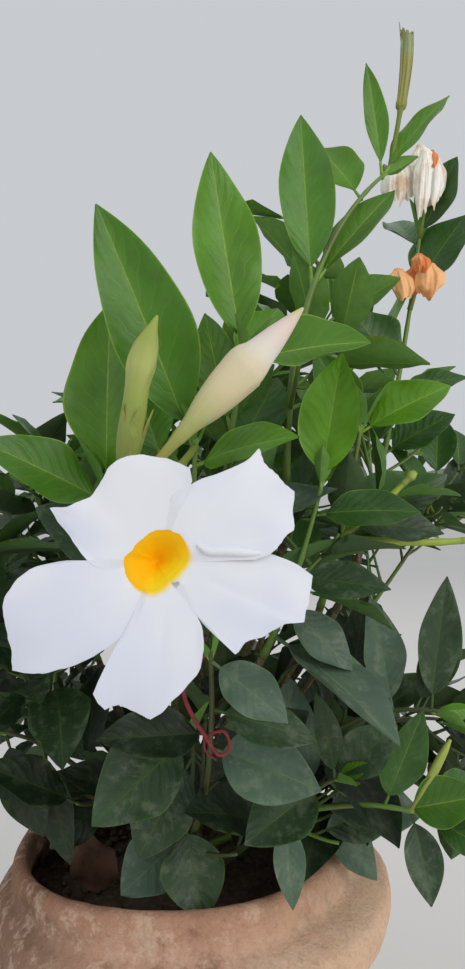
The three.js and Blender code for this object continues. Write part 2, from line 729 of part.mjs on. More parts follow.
// A seeded leaf stays near its shoot, behind the bloom and above the pot's shoulder, or in front its
// lip. The further it reaches out in front of the mouth, the higher its tip has to be.
function withinSpace(leaf, { shoot, curve }) {
  const tip = leaf.foot.clone().addScaledVector(leaf.along, leaf.length);
  const along = [0.2, 0.4, 0.6, 0.8, 1];
  const nearest = Math.min(...along.map((share) => curve.getPoint(share).distanceTo(tip)));
  const lowest = shoot.leaves ? LOWEST_FRONT_TIP : LOWEST_TIP;
  const outside = Math.max(0, -MOUTH_RADIUS - tip.y);
  return nearest < SEEDED_REACH && tip.y > FRONT_LIMIT && tip.z > lowest + outside;
}

// Adds a leaf to its mass unless it would touch another piece or another blade of the same mass
function addLeaf(plant, mass, leaf, rows) {
  const solid = leafSolid(leaf, rows);
  const blade = leafSolid(leaf, BLADE_ROWS);
  if (!touches(solid, othersThan(plant, mass)) && !touches(blade, mass.blades)) {
    mass.pieces.push(kept(solid));
    mass.blades.push(kept(blade));
  }
}

function othersThan(plant, own) {
  const masses = plant.masses.filter((mass) => mass !== own);
  return [...plant.limbs, ...masses.flatMap((mass) => mass.pieces)];
}

// The seeded foliage: pairs along the stem's bare part, and twigs that carry pairs of their own
function addSeeded(plant, mass, seed) {
  const random = randomFrom(seed);
  const { shoot, curve } = mass;
  const from = shoot.bough ? 0 : BARE_SHARE;
  const to = shoot.leaves ? Math.max(FILLED_SHARE, from + 0.25) : 1;
  const seeded = pairsAlong(curve, from, to, LEAF_LENGTH, random);
  sideTwigs(curve, from, to, shoot.leaves ? FRONT_TWIGS : OTHER_TWIGS, random).forEach((twig) => {
    const taper = TWIG_RADIUS - TIP_RADIUS;
    const solid = limbSolid(twig, stepsOf(twig), 3, (share) => TWIG_RADIUS - taper * share);
    const pairs = pairsAlong(twig, 0.1, 1, TWIG_LEAF_LENGTH, random);
    if (!touches(solid, othersThan(plant, mass))) {
      mass.pieces.push(kept(solid));
      seeded.push(...pairs);
    }
  });
  seeded.filter((leaf) => withinSpace(leaf, mass))
    .forEach((leaf) => addLeaf(plant, mass, leaf, SEEDED_ROWS));
}

// One bough: a tapering limb rooted in the woody base and cut back to a clear gap from it
function boughSolid(curve, base) {
  const limb = limbSolid(curve, 7, 5, (share) => BOUGH_RADIUS + (SHOOT_RADIUS - BOUGH_RADIUS) * share);
  return mainBody(limb.subtract(base));
}

function growPlant() {
  const pot = potSolid();
  const soil = soilSolid();
  const trunk = trunkSolid(0);
  const base = trunkSolid(CLEARANCE + 0.05);
  const boughs = [];
  const masses = SHOOTS.map((shoot) => {
    const curves = curvesOf(shoot);
    if (curves.bough) {
      boughs.push({ name: `bough_${shoot.name}`, solid: boughSolid(curves.bough, base) });
    }
    return { shoot, curve: curves.shoot, pieces: stemSolids(shoot, curves.shoot, base), blades: [] };
  });
  const limbs = [pot, soil, trunk, ...boughs.map(({ solid }) => solid)].map(kept);
  const plant = { pot, soil, trunk, boughs, masses, limbs };
  masses.forEach((mass) => {
    shownLeaves(mass.shoot, mass.curve).forEach((leaf) => addLeaf(plant, mass, leaf, SHOWN_ROWS));
  });
  masses.forEach((mass, i) => addSeeded(plant, mass, FIRST_SEED + i));
  return plant;
}

// The finished object: one named mesh for each sub-part
function material(color, roughness) {
  return new THREE.MeshStandardMaterial({ color, roughness, metalness: 0 });
}

function namedMesh(name, solid, color, roughness) {
  const mesh = new THREE.Mesh(geometryFromSolid(solid), material(color, roughness));
  mesh.name = name;
  return mesh;
}

function pottedMandevilla() {
  const plant = growPlant();
  const group = new THREE.Group();
  group.add(namedMesh('pot', plant.pot, 0xcda58c, 0.9));
  group.add(namedMesh('soil', plant.soil, 0x3a2a20, 1));
  group.add(namedMesh('trunk', plant.trunk, 0x6b5a45, 0.9));
  plant.boughs.forEach(({ name, solid }) => group.add(namedMesh(name, solid, 0x6f6a42, 0.8)));
  plant.masses.forEach(({ shoot, pieces }) => {
    const fused = mainBody(wasm.Manifold.union(pieces.map(({ solid }) => solid)));
    group.add(namedMesh(`mass_${shoot.name}`, fused.simplify(SMOOTHING), 0x3f6b2e, 0.6));
  });
  return group;
}

export default pottedMandevilla();
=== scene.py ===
import functools
import json
import math
from dataclasses import dataclass, field

import bpy
import numpy as np
from bpy.props import FloatProperty, FloatVectorProperty, IntProperty, PointerProperty
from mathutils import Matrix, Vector
from mathutils.bvhtree import BVHTree

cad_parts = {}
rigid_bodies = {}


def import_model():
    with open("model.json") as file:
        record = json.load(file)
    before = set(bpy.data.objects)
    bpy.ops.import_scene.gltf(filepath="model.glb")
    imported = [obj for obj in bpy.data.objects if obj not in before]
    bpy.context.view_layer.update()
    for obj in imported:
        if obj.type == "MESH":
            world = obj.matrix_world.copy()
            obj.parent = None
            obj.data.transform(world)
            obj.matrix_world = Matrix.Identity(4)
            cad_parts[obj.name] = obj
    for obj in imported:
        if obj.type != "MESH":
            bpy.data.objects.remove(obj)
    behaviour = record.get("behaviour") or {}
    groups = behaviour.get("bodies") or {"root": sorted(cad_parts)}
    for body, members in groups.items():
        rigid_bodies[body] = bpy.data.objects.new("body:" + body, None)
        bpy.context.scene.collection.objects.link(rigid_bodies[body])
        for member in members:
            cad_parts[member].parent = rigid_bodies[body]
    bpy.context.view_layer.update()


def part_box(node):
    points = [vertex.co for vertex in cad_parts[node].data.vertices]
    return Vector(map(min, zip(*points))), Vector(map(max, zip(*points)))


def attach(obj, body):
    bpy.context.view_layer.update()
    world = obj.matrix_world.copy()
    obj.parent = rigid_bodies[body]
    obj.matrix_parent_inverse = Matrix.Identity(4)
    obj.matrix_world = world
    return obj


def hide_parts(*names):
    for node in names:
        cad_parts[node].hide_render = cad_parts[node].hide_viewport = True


bl_info = {
    "name": "Potted Mandevilla",
    "version": (1, 0, 0),
    "blender": (4, 5, 0),
    "location": "3D View > Sidebar > Mandevilla",
    "description": "Grows a potted mandevilla with its bloom, buds and leaves over the packed frame",
    "category": "Object",
}

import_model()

MM = 0.001
BODY = "root"
TURN = 2 * math.pi
UP = np.array([0.0, 0.0, 1.0])

# Where the leaves in front turn their faces
LIGHT = np.array([-0.15, -0.85, 0.5])

# Sizes of the pot, the same as in the source
MOUTH_RADIUS = 80
POT_HEIGHT = 190
LIP_RADIUS = 88
FOOT_RADIUS = 68
FLOOR_THICKNESS = 13
SHOULDER_RADIUS = 104
SHOULDER_HEIGHT = 162
SHOULDER_LEAN = 6
SHOULDER_TILT = 5
LIP_DROP = 8
LIP_EASE = 4
SOIL_HEIGHT = 160
SOIL_GAP = 0.7
SOIL_EDGE = SHOULDER_RADIUS - 14
SOIL_ROUNDING = 2
SOIL_SIDES = 96
POT_SIDES = 176
SPAN_STEPS = 5

# Unevenness of the pot's wall and of the compost: share, size of the waves and seed
POT_DENTS = ((0.6, 46, 11), (0.34, 15, 12), (0.2, 6, 13))
SOIL_BUMPS = ((0.7, 14, 21), (0.5, 5, 22))
CRUMB_SEED = 31

# Sizes of the woody base and the stems
TRUNK_TOP = 192
TRUNK_RADIUS = 12
TRUNK_FLARE = 6
FLARE_SHARE = 0.45
TRUNK_TAPER = 0.8
CROWN_SHARE = 0.86
CROWN_ROUNDING = 2
ROOT_DEPTH = 4
BOUGH_RADIUS = 2.4
SHOOT_RADIUS = 1.7
LOW_SHOOT_RADIUS = 2.1
TWIG_RADIUS = 1.1
FINE_TWIG_RADIUS = 0.9
TIP_RADIUS = 0.8
FINE_TIP_RADIUS = 0.6
RUNNER_RADIUS = 1.7
RUNNER_END_RADIUS = 1.3
RUNNER_TIP_RADIUS = 2.1
RUNNER_NODE_SPACING = 20
STALK_RADIUS = 1.4
STEP_LENGTH = 18
BUILD_GAP = 0.36

# Longer than any flower stalk, so that it has no nodes past its foot
NODELESS = 100

# Sizes of the foliage
LEAF_LENGTH = 68
TWIG_LEAF_LENGTH = 58
FINE_LEAF_LENGTH = 46
TIP_LEAF_LENGTH = 20
LEAF_SLENDERNESS = 0.5
PETIOLE_SHARE = 0.13
PETIOLE_RADIUS = 0.8
RIB_GROOVE = 0.12
RIB_RIDGE = 0.7
LAST_NODE = 0.96
NODE_SPACING = 27
WIDEST_ANGLE = 74
ANGLE_CLOSING = 30
TWIG_LENGTH = 30
FINE_TWIG_LENGTH = 20
FRONT_TWIGS = 1
OTHER_TWIGS = 3
FINE_TWIGS = 6
SEEDED_REACH = 72
FRONT_LIMIT = -140
LOWEST_TIP = SHOULDER_HEIGHT + 12
LOWEST_FRONT_TIP = POT_HEIGHT + 14
SHADED_HEIGHT = 260
SUNLIT_HEIGHT = 440
BARE_SHARE = 0.35
FILLED_SHARE = 0.36
FIRST_SEED = 100
FINE_SEED = 500
TINT_SEED = 900
SHOWN_SEED = 1050
NODE_MARGIN = 5

# Fold and arch of leaves in front that stand up or spread, and the elevation between the two
UPRIGHT = (0.3, 0.06)
SPREADING = (0.22, 0.16)
UPRIGHT_ELEVATION = 60

# Rows and columns of the few points that stand for a leaf when it is tested, and sides of the pot
COARSE_SHARES = np.array([0.2, 0.45, 0.7, 0.95])
COARSE_COLUMNS = np.array([-0.9, 0.0, 0.9])
COARSE_POT_SIDES = 24

# Sizes of the open bloom
THROAT_RADIUS = 10
THROAT_DEPTH = 11
THROAT_FLOOR = 0.2
THROAT_SIDES = 90
PETAL_ROWS = 44
PETAL_COLUMNS = 64
PETAL_LENGTH = 36
PETAL_ARCH = 2.2
PETAL_DROOP = 2.6
PETAL_OVERLAP = 1.7
PETAL_SWAY = 0.8
CREASE_DEPTH = 0.3
FRILL_DEPTH = 0.5
BLOOM_DEPTH = 30
SEPALS = 5
WHITE_TONE = 2.0

# The photograph's frame in pixels and its camera
PHOTO_WIDTH = 465
PHOTO_HEIGHT = 969
FOCAL_PIXELS = 732
SENSOR_WIDTH = 36
CAMERA_PLACE = (27, -394.5, 372)

# The open gap between this plant's leaves in the photograph, in its pixels, and where leaves are tested
PHOTO_GAP = [(376, 552), (398, 610), (420, 680), (438, 655), (465, 568), (465, 552)]
GAP_SHARES = np.linspace(0.1, 1, 9)
GAP_COLUMNS = np.linspace(-0.9, 0.9, 5)

# Where the boughs and low shoots leave the woody base: distance from its axis, height and steepness
TIERS = {
    "inner": (4.2, TRUNK_TOP, 84),
    "crown": (9.6, TRUNK_TOP - 3, 66),
    "side": (11.6, TRUNK_TOP - 13, 30),
    "low": (12.4, TRUNK_TOP - 22, 12),
}

# One entry for each foliage mass, as in the source. root is its tier and bearing on the woody base,
# bough the point where its own shoot begins, bend pulls that shoot sideways and tip is its growing
# point. leaves are the ones that show in front: share of the shoot, bearing, elevation, length and
# width, with a tint where it isn't the shoot's own. buds are given the same way with a radius at the
# end, runners without one. raceme is where the stalks of the bloom and its buds part. tint is the
# colour of the leaves that show, and where it is a dark one the mass's other leaves are darker too.
# Tints stand partly for the leaves' age and partly for painted light: sunny is painted sunlight, and dark,
# deep and blue, with a dark mass's darker leaves, are painted shade.
SHOOTS = [
    dict(
        name="top", root=("inner", -30), tint="fresh",
        bough=(50, -86, 372), bend=(46, -112, 462), tip=(96, -73, 510),
        leaves=[
            (0.5, 170, 87, 74, 23, "bright"), (0.52, 17, 55, 60, 20), (0.84, 128, 56, 44, 20),
            (0.97, -160, 82, 50, 10), (0.98, 7, 57, 52, 15),
        ],
    ),
    dict(
        name="bloom", root=("crown", -105), tint="fresh",
        bough=(8, -98, 318), bend=(12, -125, 352), tip=(14, -134, 389),
        leaves=[(0.93, -140, 64, 89, 28, "bright"), (0.86, -48, 16, 46, 20)],
        raceme=(1, -163, 372),
    ),
    dict(
        name="left", root=("crown", -145), tint="fresh",
        bough=(-16, -92, 312), bend=(-20, -116, 340), tip=(-19, -128, 371),
        leaves=[(0.97, -80, 86, 70, 29), (0.9, -138, 29, 50, 25, "bright")],
    ),
    dict(
        name="middle", root=("inner", -120), tint="fresh",
        bough=(22, -85, 350), bend=(24, -112, 385), tip=(32, -124, 420),
        leaves=[
            (0.97, -150, 80, 78, 26), (1, -22, 12, 46, 33), (0.9, 60, 52, 46, 20), (0.6, 150, 76, 50, 18),
        ],
    ),
    dict(
        name="right_front", root=("crown", -67), tint="bright",
        bough=(40, -86, 300), bend=(50, -108, 325), tip=(62, -112, 374),
        leaves=[
            (0.98, -60, 76, 52, 24, "sunny"), (0.85, -24, 8, 40, 19, "mid"), (0.55, -34, 3, 38, 16, "deep"),
            (0.4, -22, -38, 36, 18, "blue"),
        ],
    ),
    dict(
        name="right", root=("crown", -29), tint="bright",
        bough=(66, -70, 318), bend=(72, -96, 350), tip=(78, -104, 396),
        leaves=[(0.96, -10, 33, 40, 26, "sunny"), (0.55, -16, -2, 40, 18, "deep"), (0.98, 150, 62, 40, 17)],
        runners=[(0.45, 2, -6, 62), (0.45, 4, 36, 40)],
    ),
    dict(
        name="far_right", root=("crown", 10), tint="mid",
        bough=(90, -42, 345), bend=(106, -48, 410), tip=(120, -34, 500),
        leaves=[
            (0.3, -12, 35, 38, 20), (0.55, -165, 56, 40, 26), (0.5, -12, 17, 34, 16),
            (0.8, -14, 60, 46, 29), (0.93, 100, 45, 42, 22), (1, -40, 63, 40, 20),
        ],
    ),
    dict(
        name="low_right", root=("side", -52), tint="mid",
        bend=(70, -84, 250), tip=(114, -97, 234),
        leaves=[
            (0.82, -36, 68, 46, 18), (0.88, -37, 25, 34, 20, "bright"), (0.9, -77, -55, 34, 15, "deep"),
            (0.99, -45, -8, 30, 15), (0.97, 40, 20, 36, 17),
        ],
        buds=[(0.9, -20, 63, 34, 1.9), (0.95, -25, 41, 30, 1.8)],
    ),
    dict(
        name="right_low", root=("side", -22), tint="blue",
        bend=(62, -60, 280), tip=(121, -74, 272),
        leaves=[
            (0.7, -45, 78, 66, 20, "dark"), (0.86, -128, 70, 56, 19), (0.99, -40, 82, 60, 19, "deep"),
            (0.92, 10, 62, 46, 17, "deep"),
        ],
    ),
    dict(
        name="front_right", root=("low", -66), tint="deep",
        bend=(50, -70, 235), tip=(72, -98, 254),
        leaves=[
            (0.98, -129, 70, 40, 12), (1, -25, 47, 34, 19), (0.9, -150, -20, 40, 25),
            (0.7, -85, -62, 38, 14, "blue"),
        ],
    ),
    dict(
        name="front", root=("side", -84), tint="deep",
        bend=(22, -95, 240), tip=(19, -138, 318),
        leaves=[
            (1, -28, -28, 34, 18, "blue"), (0.86, -15, -9, 40, 18), (0.76, -33, -5, 46, 27, "blue"),
            (0.8, -150, 10, 44, 22, "dark"),
        ],
    ),
    dict(
        name="front_low", root=("low", -100), tint="deep",
        bend=(14, -60, 225), tip=(10, -98, 275),
        leaves=[
            (0.98, -143, -25, 50, 31), (0.88, -140, -48, 44, 27), (0.6, -66, -58, 40, 28),
            (0.5, -145, -24, 34, 26, "blue"),
        ],
    ),
    dict(
        name="left_low", root=("side", -122), tint="dark",
        bend=(-45, -50, 255), tip=(-78, -70, 262),
        leaves=[
            (0.45, -150, -24, 34, 22), (0.8, -51, -66, 52, 18), (0.98, -40, -58, 46, 20),
            (1, -150, 10, 50, 22),
        ],
    ),
    dict(
        name="left_side", root=("side", -160),
        bough=(-55, -20, 250), bend=(-80, -40, 285), tip=(-112, -50, 326),
    ),
    dict(
        name="left_back", root=("crown", 170),
        bough=(-50, 28, 270), bend=(-72, 45, 320), tip=(-98, 58, 372),
    ),
    dict(
        name="back_left", root=("crown", 128),
        bough=(-28, 52, 290), bend=(-38, 75, 350), tip=(-52, 88, 415),
    ),
    dict(
        name="back", root=("side", 88),
        bough=(10, 60, 280), bend=(14, 92, 330), tip=(16, 116, 385),
    ),
    dict(
        name="back_right", root=("crown", 52),
        bough=(48, 48, 290), bend=(66, 70, 350), tip=(82, 84, 425),
    ),
    dict(
        name="right_side", root=("side", 16),
        bough=(72, 10, 266), bend=(108, 15, 305), tip=(138, 18, 352),
    ),
    dict(
        name="centre", root=("inner", 150),
        bough=(2, -24, 320), bend=(-4, -18, 365), tip=(-12, -34, 402),
    ),
    dict(
        name="centre_back", root=("inner", 60),
        bough=(22, 16, 320), bend=(32, 22, 385), tip=(44, 14, 450),
    ),
    dict(name="back_low_left", root=("side", 140), bend=(-70, 55, 262), tip=(-108, 76, 244)),
    dict(name="back_low", root=("low", 108), bend=(0, 80, 262), tip=(4, 128, 248)),
    dict(name="back_low_right", root=("side", 48), bend=(74, 72, 262), tip=(104, 96, 244)),
    dict(name="right_low_back", root=("low", -4), bend=(80, -10, 262), tip=(138, -24, 252)),
]

# Outline of each petal from the front, anticlockwise edge first, as bearing and distance from the
# throat. Each run ends at a corner of the edge. The first points lie hidden under the petal before.
PETALS = [
    [
        [(190, 15), (180, 19), (170, 22.6), (161, 27.5), (153, 33.7)],
        [(147.6, 29.6), (133, 26.5), (122, 28.6), (109, 31.2), (95, 30.8), (81.6, 29.4), (70, 28.4)],
        [(65.5, 25)],
    ],
    [
        [(76, 19), (65, 24.6), (54.4, 31), (48, 38.5), (47.3, 45.3)],
        [(41.6, 43), (33.4, 43.8), (26.2, 45.4)],
        [(20.3, 43), (12, 41.2)],
        [(9.8, 37.8), (3.7, 34), (0, 29)],
    ],
    [
        [(11, 24), (4, 32), (-1, 39.5), (-6, 46.2)],
        [(-13.2, 46.2), (-23, 46.7)],
        [(-27, 41.2), (-35.4, 37.8), (-42, 35), (-50, 34.6)],
        [(-51.5, 28.8), (-53.5, 22)],
    ],
    [
        [(-42, 12), (-52.3, 18.3), (-56, 23.6), (-63.4, 29.5), (-71.4, 35), (-81.5, 39), (-92, 44.6)],
        [(-97.4, 42.7), (-104.5, 41.4), (-109, 43.4)],
        [(-115.5, 40.5)],
        [(-115.8, 35.5), (-114.6, 28), (-113, 22)],
    ],
    [
        [(-106, 17), (-115, 23.4), (-121.3, 29.6), (-130.2, 38.9), (-136.6, 45.3), (-143.1, 50.4)],
        [(-150.2, 47), (-163, 44.6), (-169.4, 41.5), (-177, 35), (-181, 25.2)],
    ],
]

# The lip that is rolled up along the second petal's lower edge: bearing, distance and depth of its middle
ROLLED_LIP = [(20, 12.6, 0.6), (10.5, 15, 1.3), (7.2, 20.5, 2), (4.8, 25.6, 2.4), (3.6, 30, 2.2)]
LIP_THICKNESS = 2.6

# Edge of the golden throat: bearing and distance from its middle
THROAT_EDGE = [
    (-146, 9.4), (-122, 9.1), (-97, 8.8), (-80, 7.8), (-55, 6.5), (-23, 7.2), (3, 9), (21, 9.4), (45, 10.1),
    (67, 9.4), (91, 8.6), (122, 7.3), (157, 7.4), (174, 8.9),
]
# Bearing of the throat's upper wall, painted deeper orange: partly its own deeper gold and partly painted
# shade
SHADED_THROAT_BEARING = 130

# The throat's inside: distance from its middle as a share of its edge's, and depth
THROAT_BOWL = [
    (0.005, -7.6), (0.1, -7.3), (0.21, -6.2), (0.41, -4.2), (0.61, -2.5), (0.78, -1.15), (0.9, -0.5),
    (0.98, -0.24),
]
BLOOM_CENTRE = np.array([5.0, -184.0, 350.0])
BLOOM_BEARING = (-84, 6)

# The buds that stand out, each with the points that steer its axis and its radius along the axis
SLIM_AXIS = ((-6.6, -163, 379), (-3.6, -163.5, 394), (-4.2, -162.5, 408), (3, -161, 425.9))
SLIM_SHAPE = (
    (0, 3.2), (0.08, 3.9), (0.2, 4.3), (0.42, 3.95), (0.55, 3.9), (0.66, 4.7), (0.72, 4.7), (0.8, 4.1),
    (0.86, 3.1), (0.92, 1.8), (0.97, 1), (1, 0.4),
)
PALE_AXIS = ((2.5, -163, 378.4), (18, -161.5, 396.5), (34, -157, 412.5), (50.2, -154, 430))
PALE_SHAPE = (
    (0, 1.5), (0.1, 1.8), (0.16, 2.4), (0.24, 3.1), (0.33, 4.8), (0.43, 6.2), (0.52, 7), (0.62, 7.5),
    (0.7, 5.9), (0.8, 4.3), (0.9, 2.5), (0.97, 1.1), (1, 0.4),
)
PALE_RIM = 0.63
SPENT_AXIS = ((96, -73, 510), (100, -72.5, 532), (103.5, -72, 547), (104.2, -71, 571.5))
SPENT_SHAPE = (
    (0, 1.2), (0.4, 1.1), (0.46, 2.1), (0.5, 2.3), (0.55, 2.1), (0.7, 2.4), (0.85, 2.7), (1, 2.7),
)
SPENT_HORN = ((101.8, -72.5, 563), (101, -72.5, 569), (100.4, -72.5, 575.5))
YOUNG_SHAPE = ((0, 0.7), (0.35, 0.7), (0.6, 1), (0.85, 0.8), (1, 0.3))
BUD_ROWS = 72

# Withered flowers: the top of their stalk, the share of the shoot where it is rooted, and each limp
# petal's middle, width, length and material
WITHERED = {
    "cream": dict(
        crown=(117, -44, 532), node=0.96,
        petals=[
            (116.5, -46, 526, 11, 15, 0), (123.5, -45, 516, 10, 23, 0), (117, -48.5, 514, 8.5, 32, 0),
            (106, -44, 515, 13.5, 19, 0), (122.4, -46, 527, 6, 8, 2), (111, -42, 518, 12, 19, 0),
            (119.5, -41, 517, 14, 22, 0),
        ],
    ),
    "orange": dict(
        crown=(115.5, -46, 480), node=0.75,
        petals=[
            (107, -47, 466.8, 12.5, 15, 0), (115, -50, 476, 9.5, 9, 2), (119.4, -48, 468, 14.5, 17, 0),
            (113.5, -43.5, 469, 13, 15, 2),
        ],
    ),
}

# A withered leaf that leans on the pot's inside, and the dry red tendril below the bloom
FALLEN_LEAF = dict(foot=(-36, -22, 162), ahead=(-160, 68), length=36, width=24)
TENDRIL = (
    (19, -124, 312), (11, -129, 303), (9.5, -130, 296), (13, -131, 288), (17, -132, 282), (22, -132, 275),
    (26, -131, 277), (24, -131, 283), (18, -130, 281), (17, -129, 276), (21, -129, 272),
)


def screen(red, green, blue):
    """Scene colour of a colour given as it reads on screen, from 0 to 255."""
    shares = np.array([red, green, blue]) / 255
    linear = np.where(shares <= 0.04045, shares / 12.92, ((shares + 0.055) / 1.055) ** 2.4)
    return tuple(linear.tolist())


# Vectors, curves and repeatable numbers
def unit(vector):
    return vector / np.linalg.norm(vector)


def square_to(vector, axis):
    """The part of vector that is square to axis, at unit length."""
    return unit(vector - axis * vector.dot(axis))


def bearing(azimuth, elevation):
    """Unit vector from a bearing (0 along +X, 90 along +Y) and an elevation, in degrees."""
    across = math.radians(azimuth)
    upward = math.radians(elevation)
    level = math.cos(upward)
    return np.array([level * math.cos(across), level * math.sin(across), math.sin(upward)])


def smoothstep(value, low, high):
    share = np.clip((np.asarray(value, float) - low) / (high - low), 0, 1)
    return share * share * (3 - 2 * share)


def random_from(seed):
    """Repeatable random numbers from 0 to 1, the same run as the source's."""
    mask = 0xFFFFFFFF
    state = seed

    def draw():
        nonlocal state
        state = (state + 0x6D2B79F5) & mask
        mixed = ((state ^ (state >> 15)) * (state | 1)) & mask
        mixed ^= (mixed + (((mixed ^ (mixed >> 7)) * (mixed | 61)) & mask)) & mask
        return (mixed ^ (mixed >> 14)) / (mask + 1)

    return draw


def even_turns(sides):
    """Angles of that many even turns round a circle."""
    return np.arange(sides) * TURN / sides


def spokes_round(turns, across, beside):
    """A direction for each turn round a circle that two directions span."""
    return np.outer(np.cos(turns), across) + np.outer(np.sin(turns), beside)


def level_rings(radii, turns, heights):
    """Points round the upright axis."""
    return np.stack([radii * np.cos(turns), radii * np.sin(turns), heights + 0 * turns], axis=-1)


def wave(across, count, shift, lag=0.0):
    """That many waves to each unit across, from -1 to 1."""
    return np.sin(TURN * (count * across + shift) + lag)


def ripples(points, size, seed):
    """Smooth uneven waves from about -1 to 1 over points, with crests about size apart."""
    random = random_from(seed)
    total = np.zeros(points.shape[:-1])
    waves = 9
    for _ in range(waves):
        way = bearing(360 * random(), 180 * random() - 90)
        total += np.sin(points @ way * TURN / size * (0.6 + 0.8 * random()) + TURN * random())
    return total * 1.8 / waves


def layered(points, layers):
    """Ripples laid over each other: share, size and seed of each layer."""
    return sum(share * ripples(points, size, seed) for share, size, seed in layers)


class Bezier:
    """A quadratic or cubic curve, with the source's way to find lengths and tangents."""

    def __init__(self, *points):
        self.points = np.array(points, float)
        steps = self.point(np.linspace(0, 1, 201))
        self.length = np.linalg.norm(np.diff(steps, axis=0), axis=1).sum()
        self.steps = max(3, round(self.length / STEP_LENGTH))

    def point(self, share):
        share = np.asarray(share, float)[..., None]
        rest = 1 - share
        if len(self.points) == 3:
            start, bend, end = self.points
            return start * rest**2 + 2 * bend * rest * share + end * share**2
        start, first, second, end = self.points
        return (
            start * rest**3 + 3 * first * rest**2 * share + 3 * second * rest * share**2 + end * share**3
        )

    def tangent(self, share):
        step = 1e-4
        return unit(self.point(min(1, share + step)) - self.point(max(0, share - step)))

    def spokes(self, share):
        """Two directions square to the curve and to each other, from an untwisted start."""
        chord = unit(self.points[-1] - self.points[0])
        reference = np.array([1.0, 0, 0]) if abs(chord[2]) > 0.95 else np.cross(chord, UP)
        ahead = self.tangent(share)
        across = square_to(reference, ahead)
        return across, np.cross(ahead, across)

    def spoke(self, share, turn):
        across, beside = self.spokes(share)
        return across * math.cos(turn) + beside * math.sin(turn)

    def node(self, share):
        """Where a leaf is rooted: the source's limb runs straight between even steps of the curve."""
        place = min(share, LAST_NODE) * self.steps
        step = math.floor(place)
        near = self.point(step / self.steps)
        return near + (self.point((step + 1) / self.steps) - near) * (place - step)


def smooth_line(points, steps):
    """A smooth line through points, with that many steps to each span."""
    points = np.array(points, float)
    ends = np.concatenate([[2 * points[0] - points[1]], points, [2 * points[-1] - points[-2]]])
    line = []
    for before, start, end, after in zip(ends, ends[1:], ends[2:], ends[3:]):
        for share in np.arange(steps) / steps:
            pull = (end - before) * share + (2 * before - 5 * start + 4 * end - after) * share**2
            line.append(start + 0.5 * (pull + (3 * start - before - 3 * end + after) * share**3))
    line.append(points[-1])
    return np.array(line)


# Meshes
def clear(kind, name):
    """Removes what an earlier run made under this name."""
    old = kind.get(name)
    if old:
        kind.remove(old)


def new_object(name, data):
    clear(bpy.data.objects, name)
    made = bpy.data.objects.new(name, data)
    bpy.context.scene.collection.objects.link(made)
    return made


class Sheaf:
    """Gathers many small meshes into one piece, with a tone and a place for each point."""

    def __init__(self):
        self.points = []
        self.faces = []
        self.slots = []
        self.tones = []
        self.places = []
        self.count = 0

    def add(self, points, faces, slots=0, tones=0.0, places=0.0):
        """Adds points, and faces that all have the same number of corners."""
        points = np.asarray(points, float).reshape(-1, 3)
        self.add_points(points, tones, places)
        self.add_faces(np.asarray(faces) + self.count - len(points), slots)

    def add_points(self, points, tones=0.0, places=0.0):
        count = len(points)
        self.points.append(points)
        self.tones.append(np.broadcast_to(np.asarray(tones, float).reshape(-1), (count,)))
        self.places.append(np.broadcast_to(np.asarray(places, float), (count, 3)))
        self.count += count

    def add_faces(self, faces, slots=0):
        self.faces.append(faces)
        self.slots.append(np.broadcast_to(slots, (len(faces),)))

    def piece(self, name, *materials):
        """The gathered mesh as an object with these materials."""
        mesh = bpy.data.meshes.new(name)
        corners = np.concatenate([faces.ravel() for faces in self.faces]).astype(np.int32)
        sizes = np.concatenate([np.full(len(faces), faces.shape[1]) for faces in self.faces])
        mesh.vertices.add(self.count)
        mesh.vertices.foreach_set("co", (np.concatenate(self.points) * MM).ravel())
        mesh.loops.add(len(corners))
        mesh.loops.foreach_set("vertex_index", corners)
        mesh.polygons.add(len(sizes))
        mesh.polygons.foreach_set("loop_start", (np.cumsum(sizes) - sizes).astype(np.int32))
        mesh.polygons.foreach_set("material_index", np.concatenate(self.slots).astype(np.int32))
        mesh.polygons.foreach_set("use_smooth", np.ones(len(sizes), bool))
        tone = mesh.attributes.new("tone", "FLOAT", "POINT")
        tone.data.foreach_set("value", np.concatenate(self.tones))
        place = mesh.attributes.new("place", "FLOAT_VECTOR", "POINT")
        place.data.foreach_set("vector", np.concatenate(self.places).ravel())
        mesh.update(calc_edges=True)
        mesh.validate()
        for material in materials:
            mesh.materials.append(material)
        return new_object(name, mesh)


def grid_faces(rows, columns, wrap=False):
    """Quads between the points of a grid that is counted row by row."""
    across = np.arange(columns if wrap else columns - 1)
    near = (np.arange(rows - 1)[:, None] * columns + across).ravel()
    beside = (np.arange(rows - 1)[:, None] * columns + (across + 1) % columns).ravel()
    return np.stack([near, beside, beside + columns, near + columns], axis=1)


def fan_faces(centre, ring, outward=True):
    """Triangles from a centre point to a closed ring of points."""
    ring = np.asarray(ring)
    after = np.roll(ring, -1)
    middle = np.full(len(ring), centre)
    return np.stack([middle, ring, after] if outward else [middle, after, ring], axis=1)


def rings_round(curve, shares, turns, radii):
    """Points round a curve, a ring for each share, with one radius for each ring or for each point."""
    rings = []
    for share, ring_radii in zip(shares, radii):
        spokes = spokes_round(turns, *curve.spokes(share))
        rings.append(curve.point(share) + spokes * np.reshape(ring_radii, (-1, 1)))
    return np.array(rings)


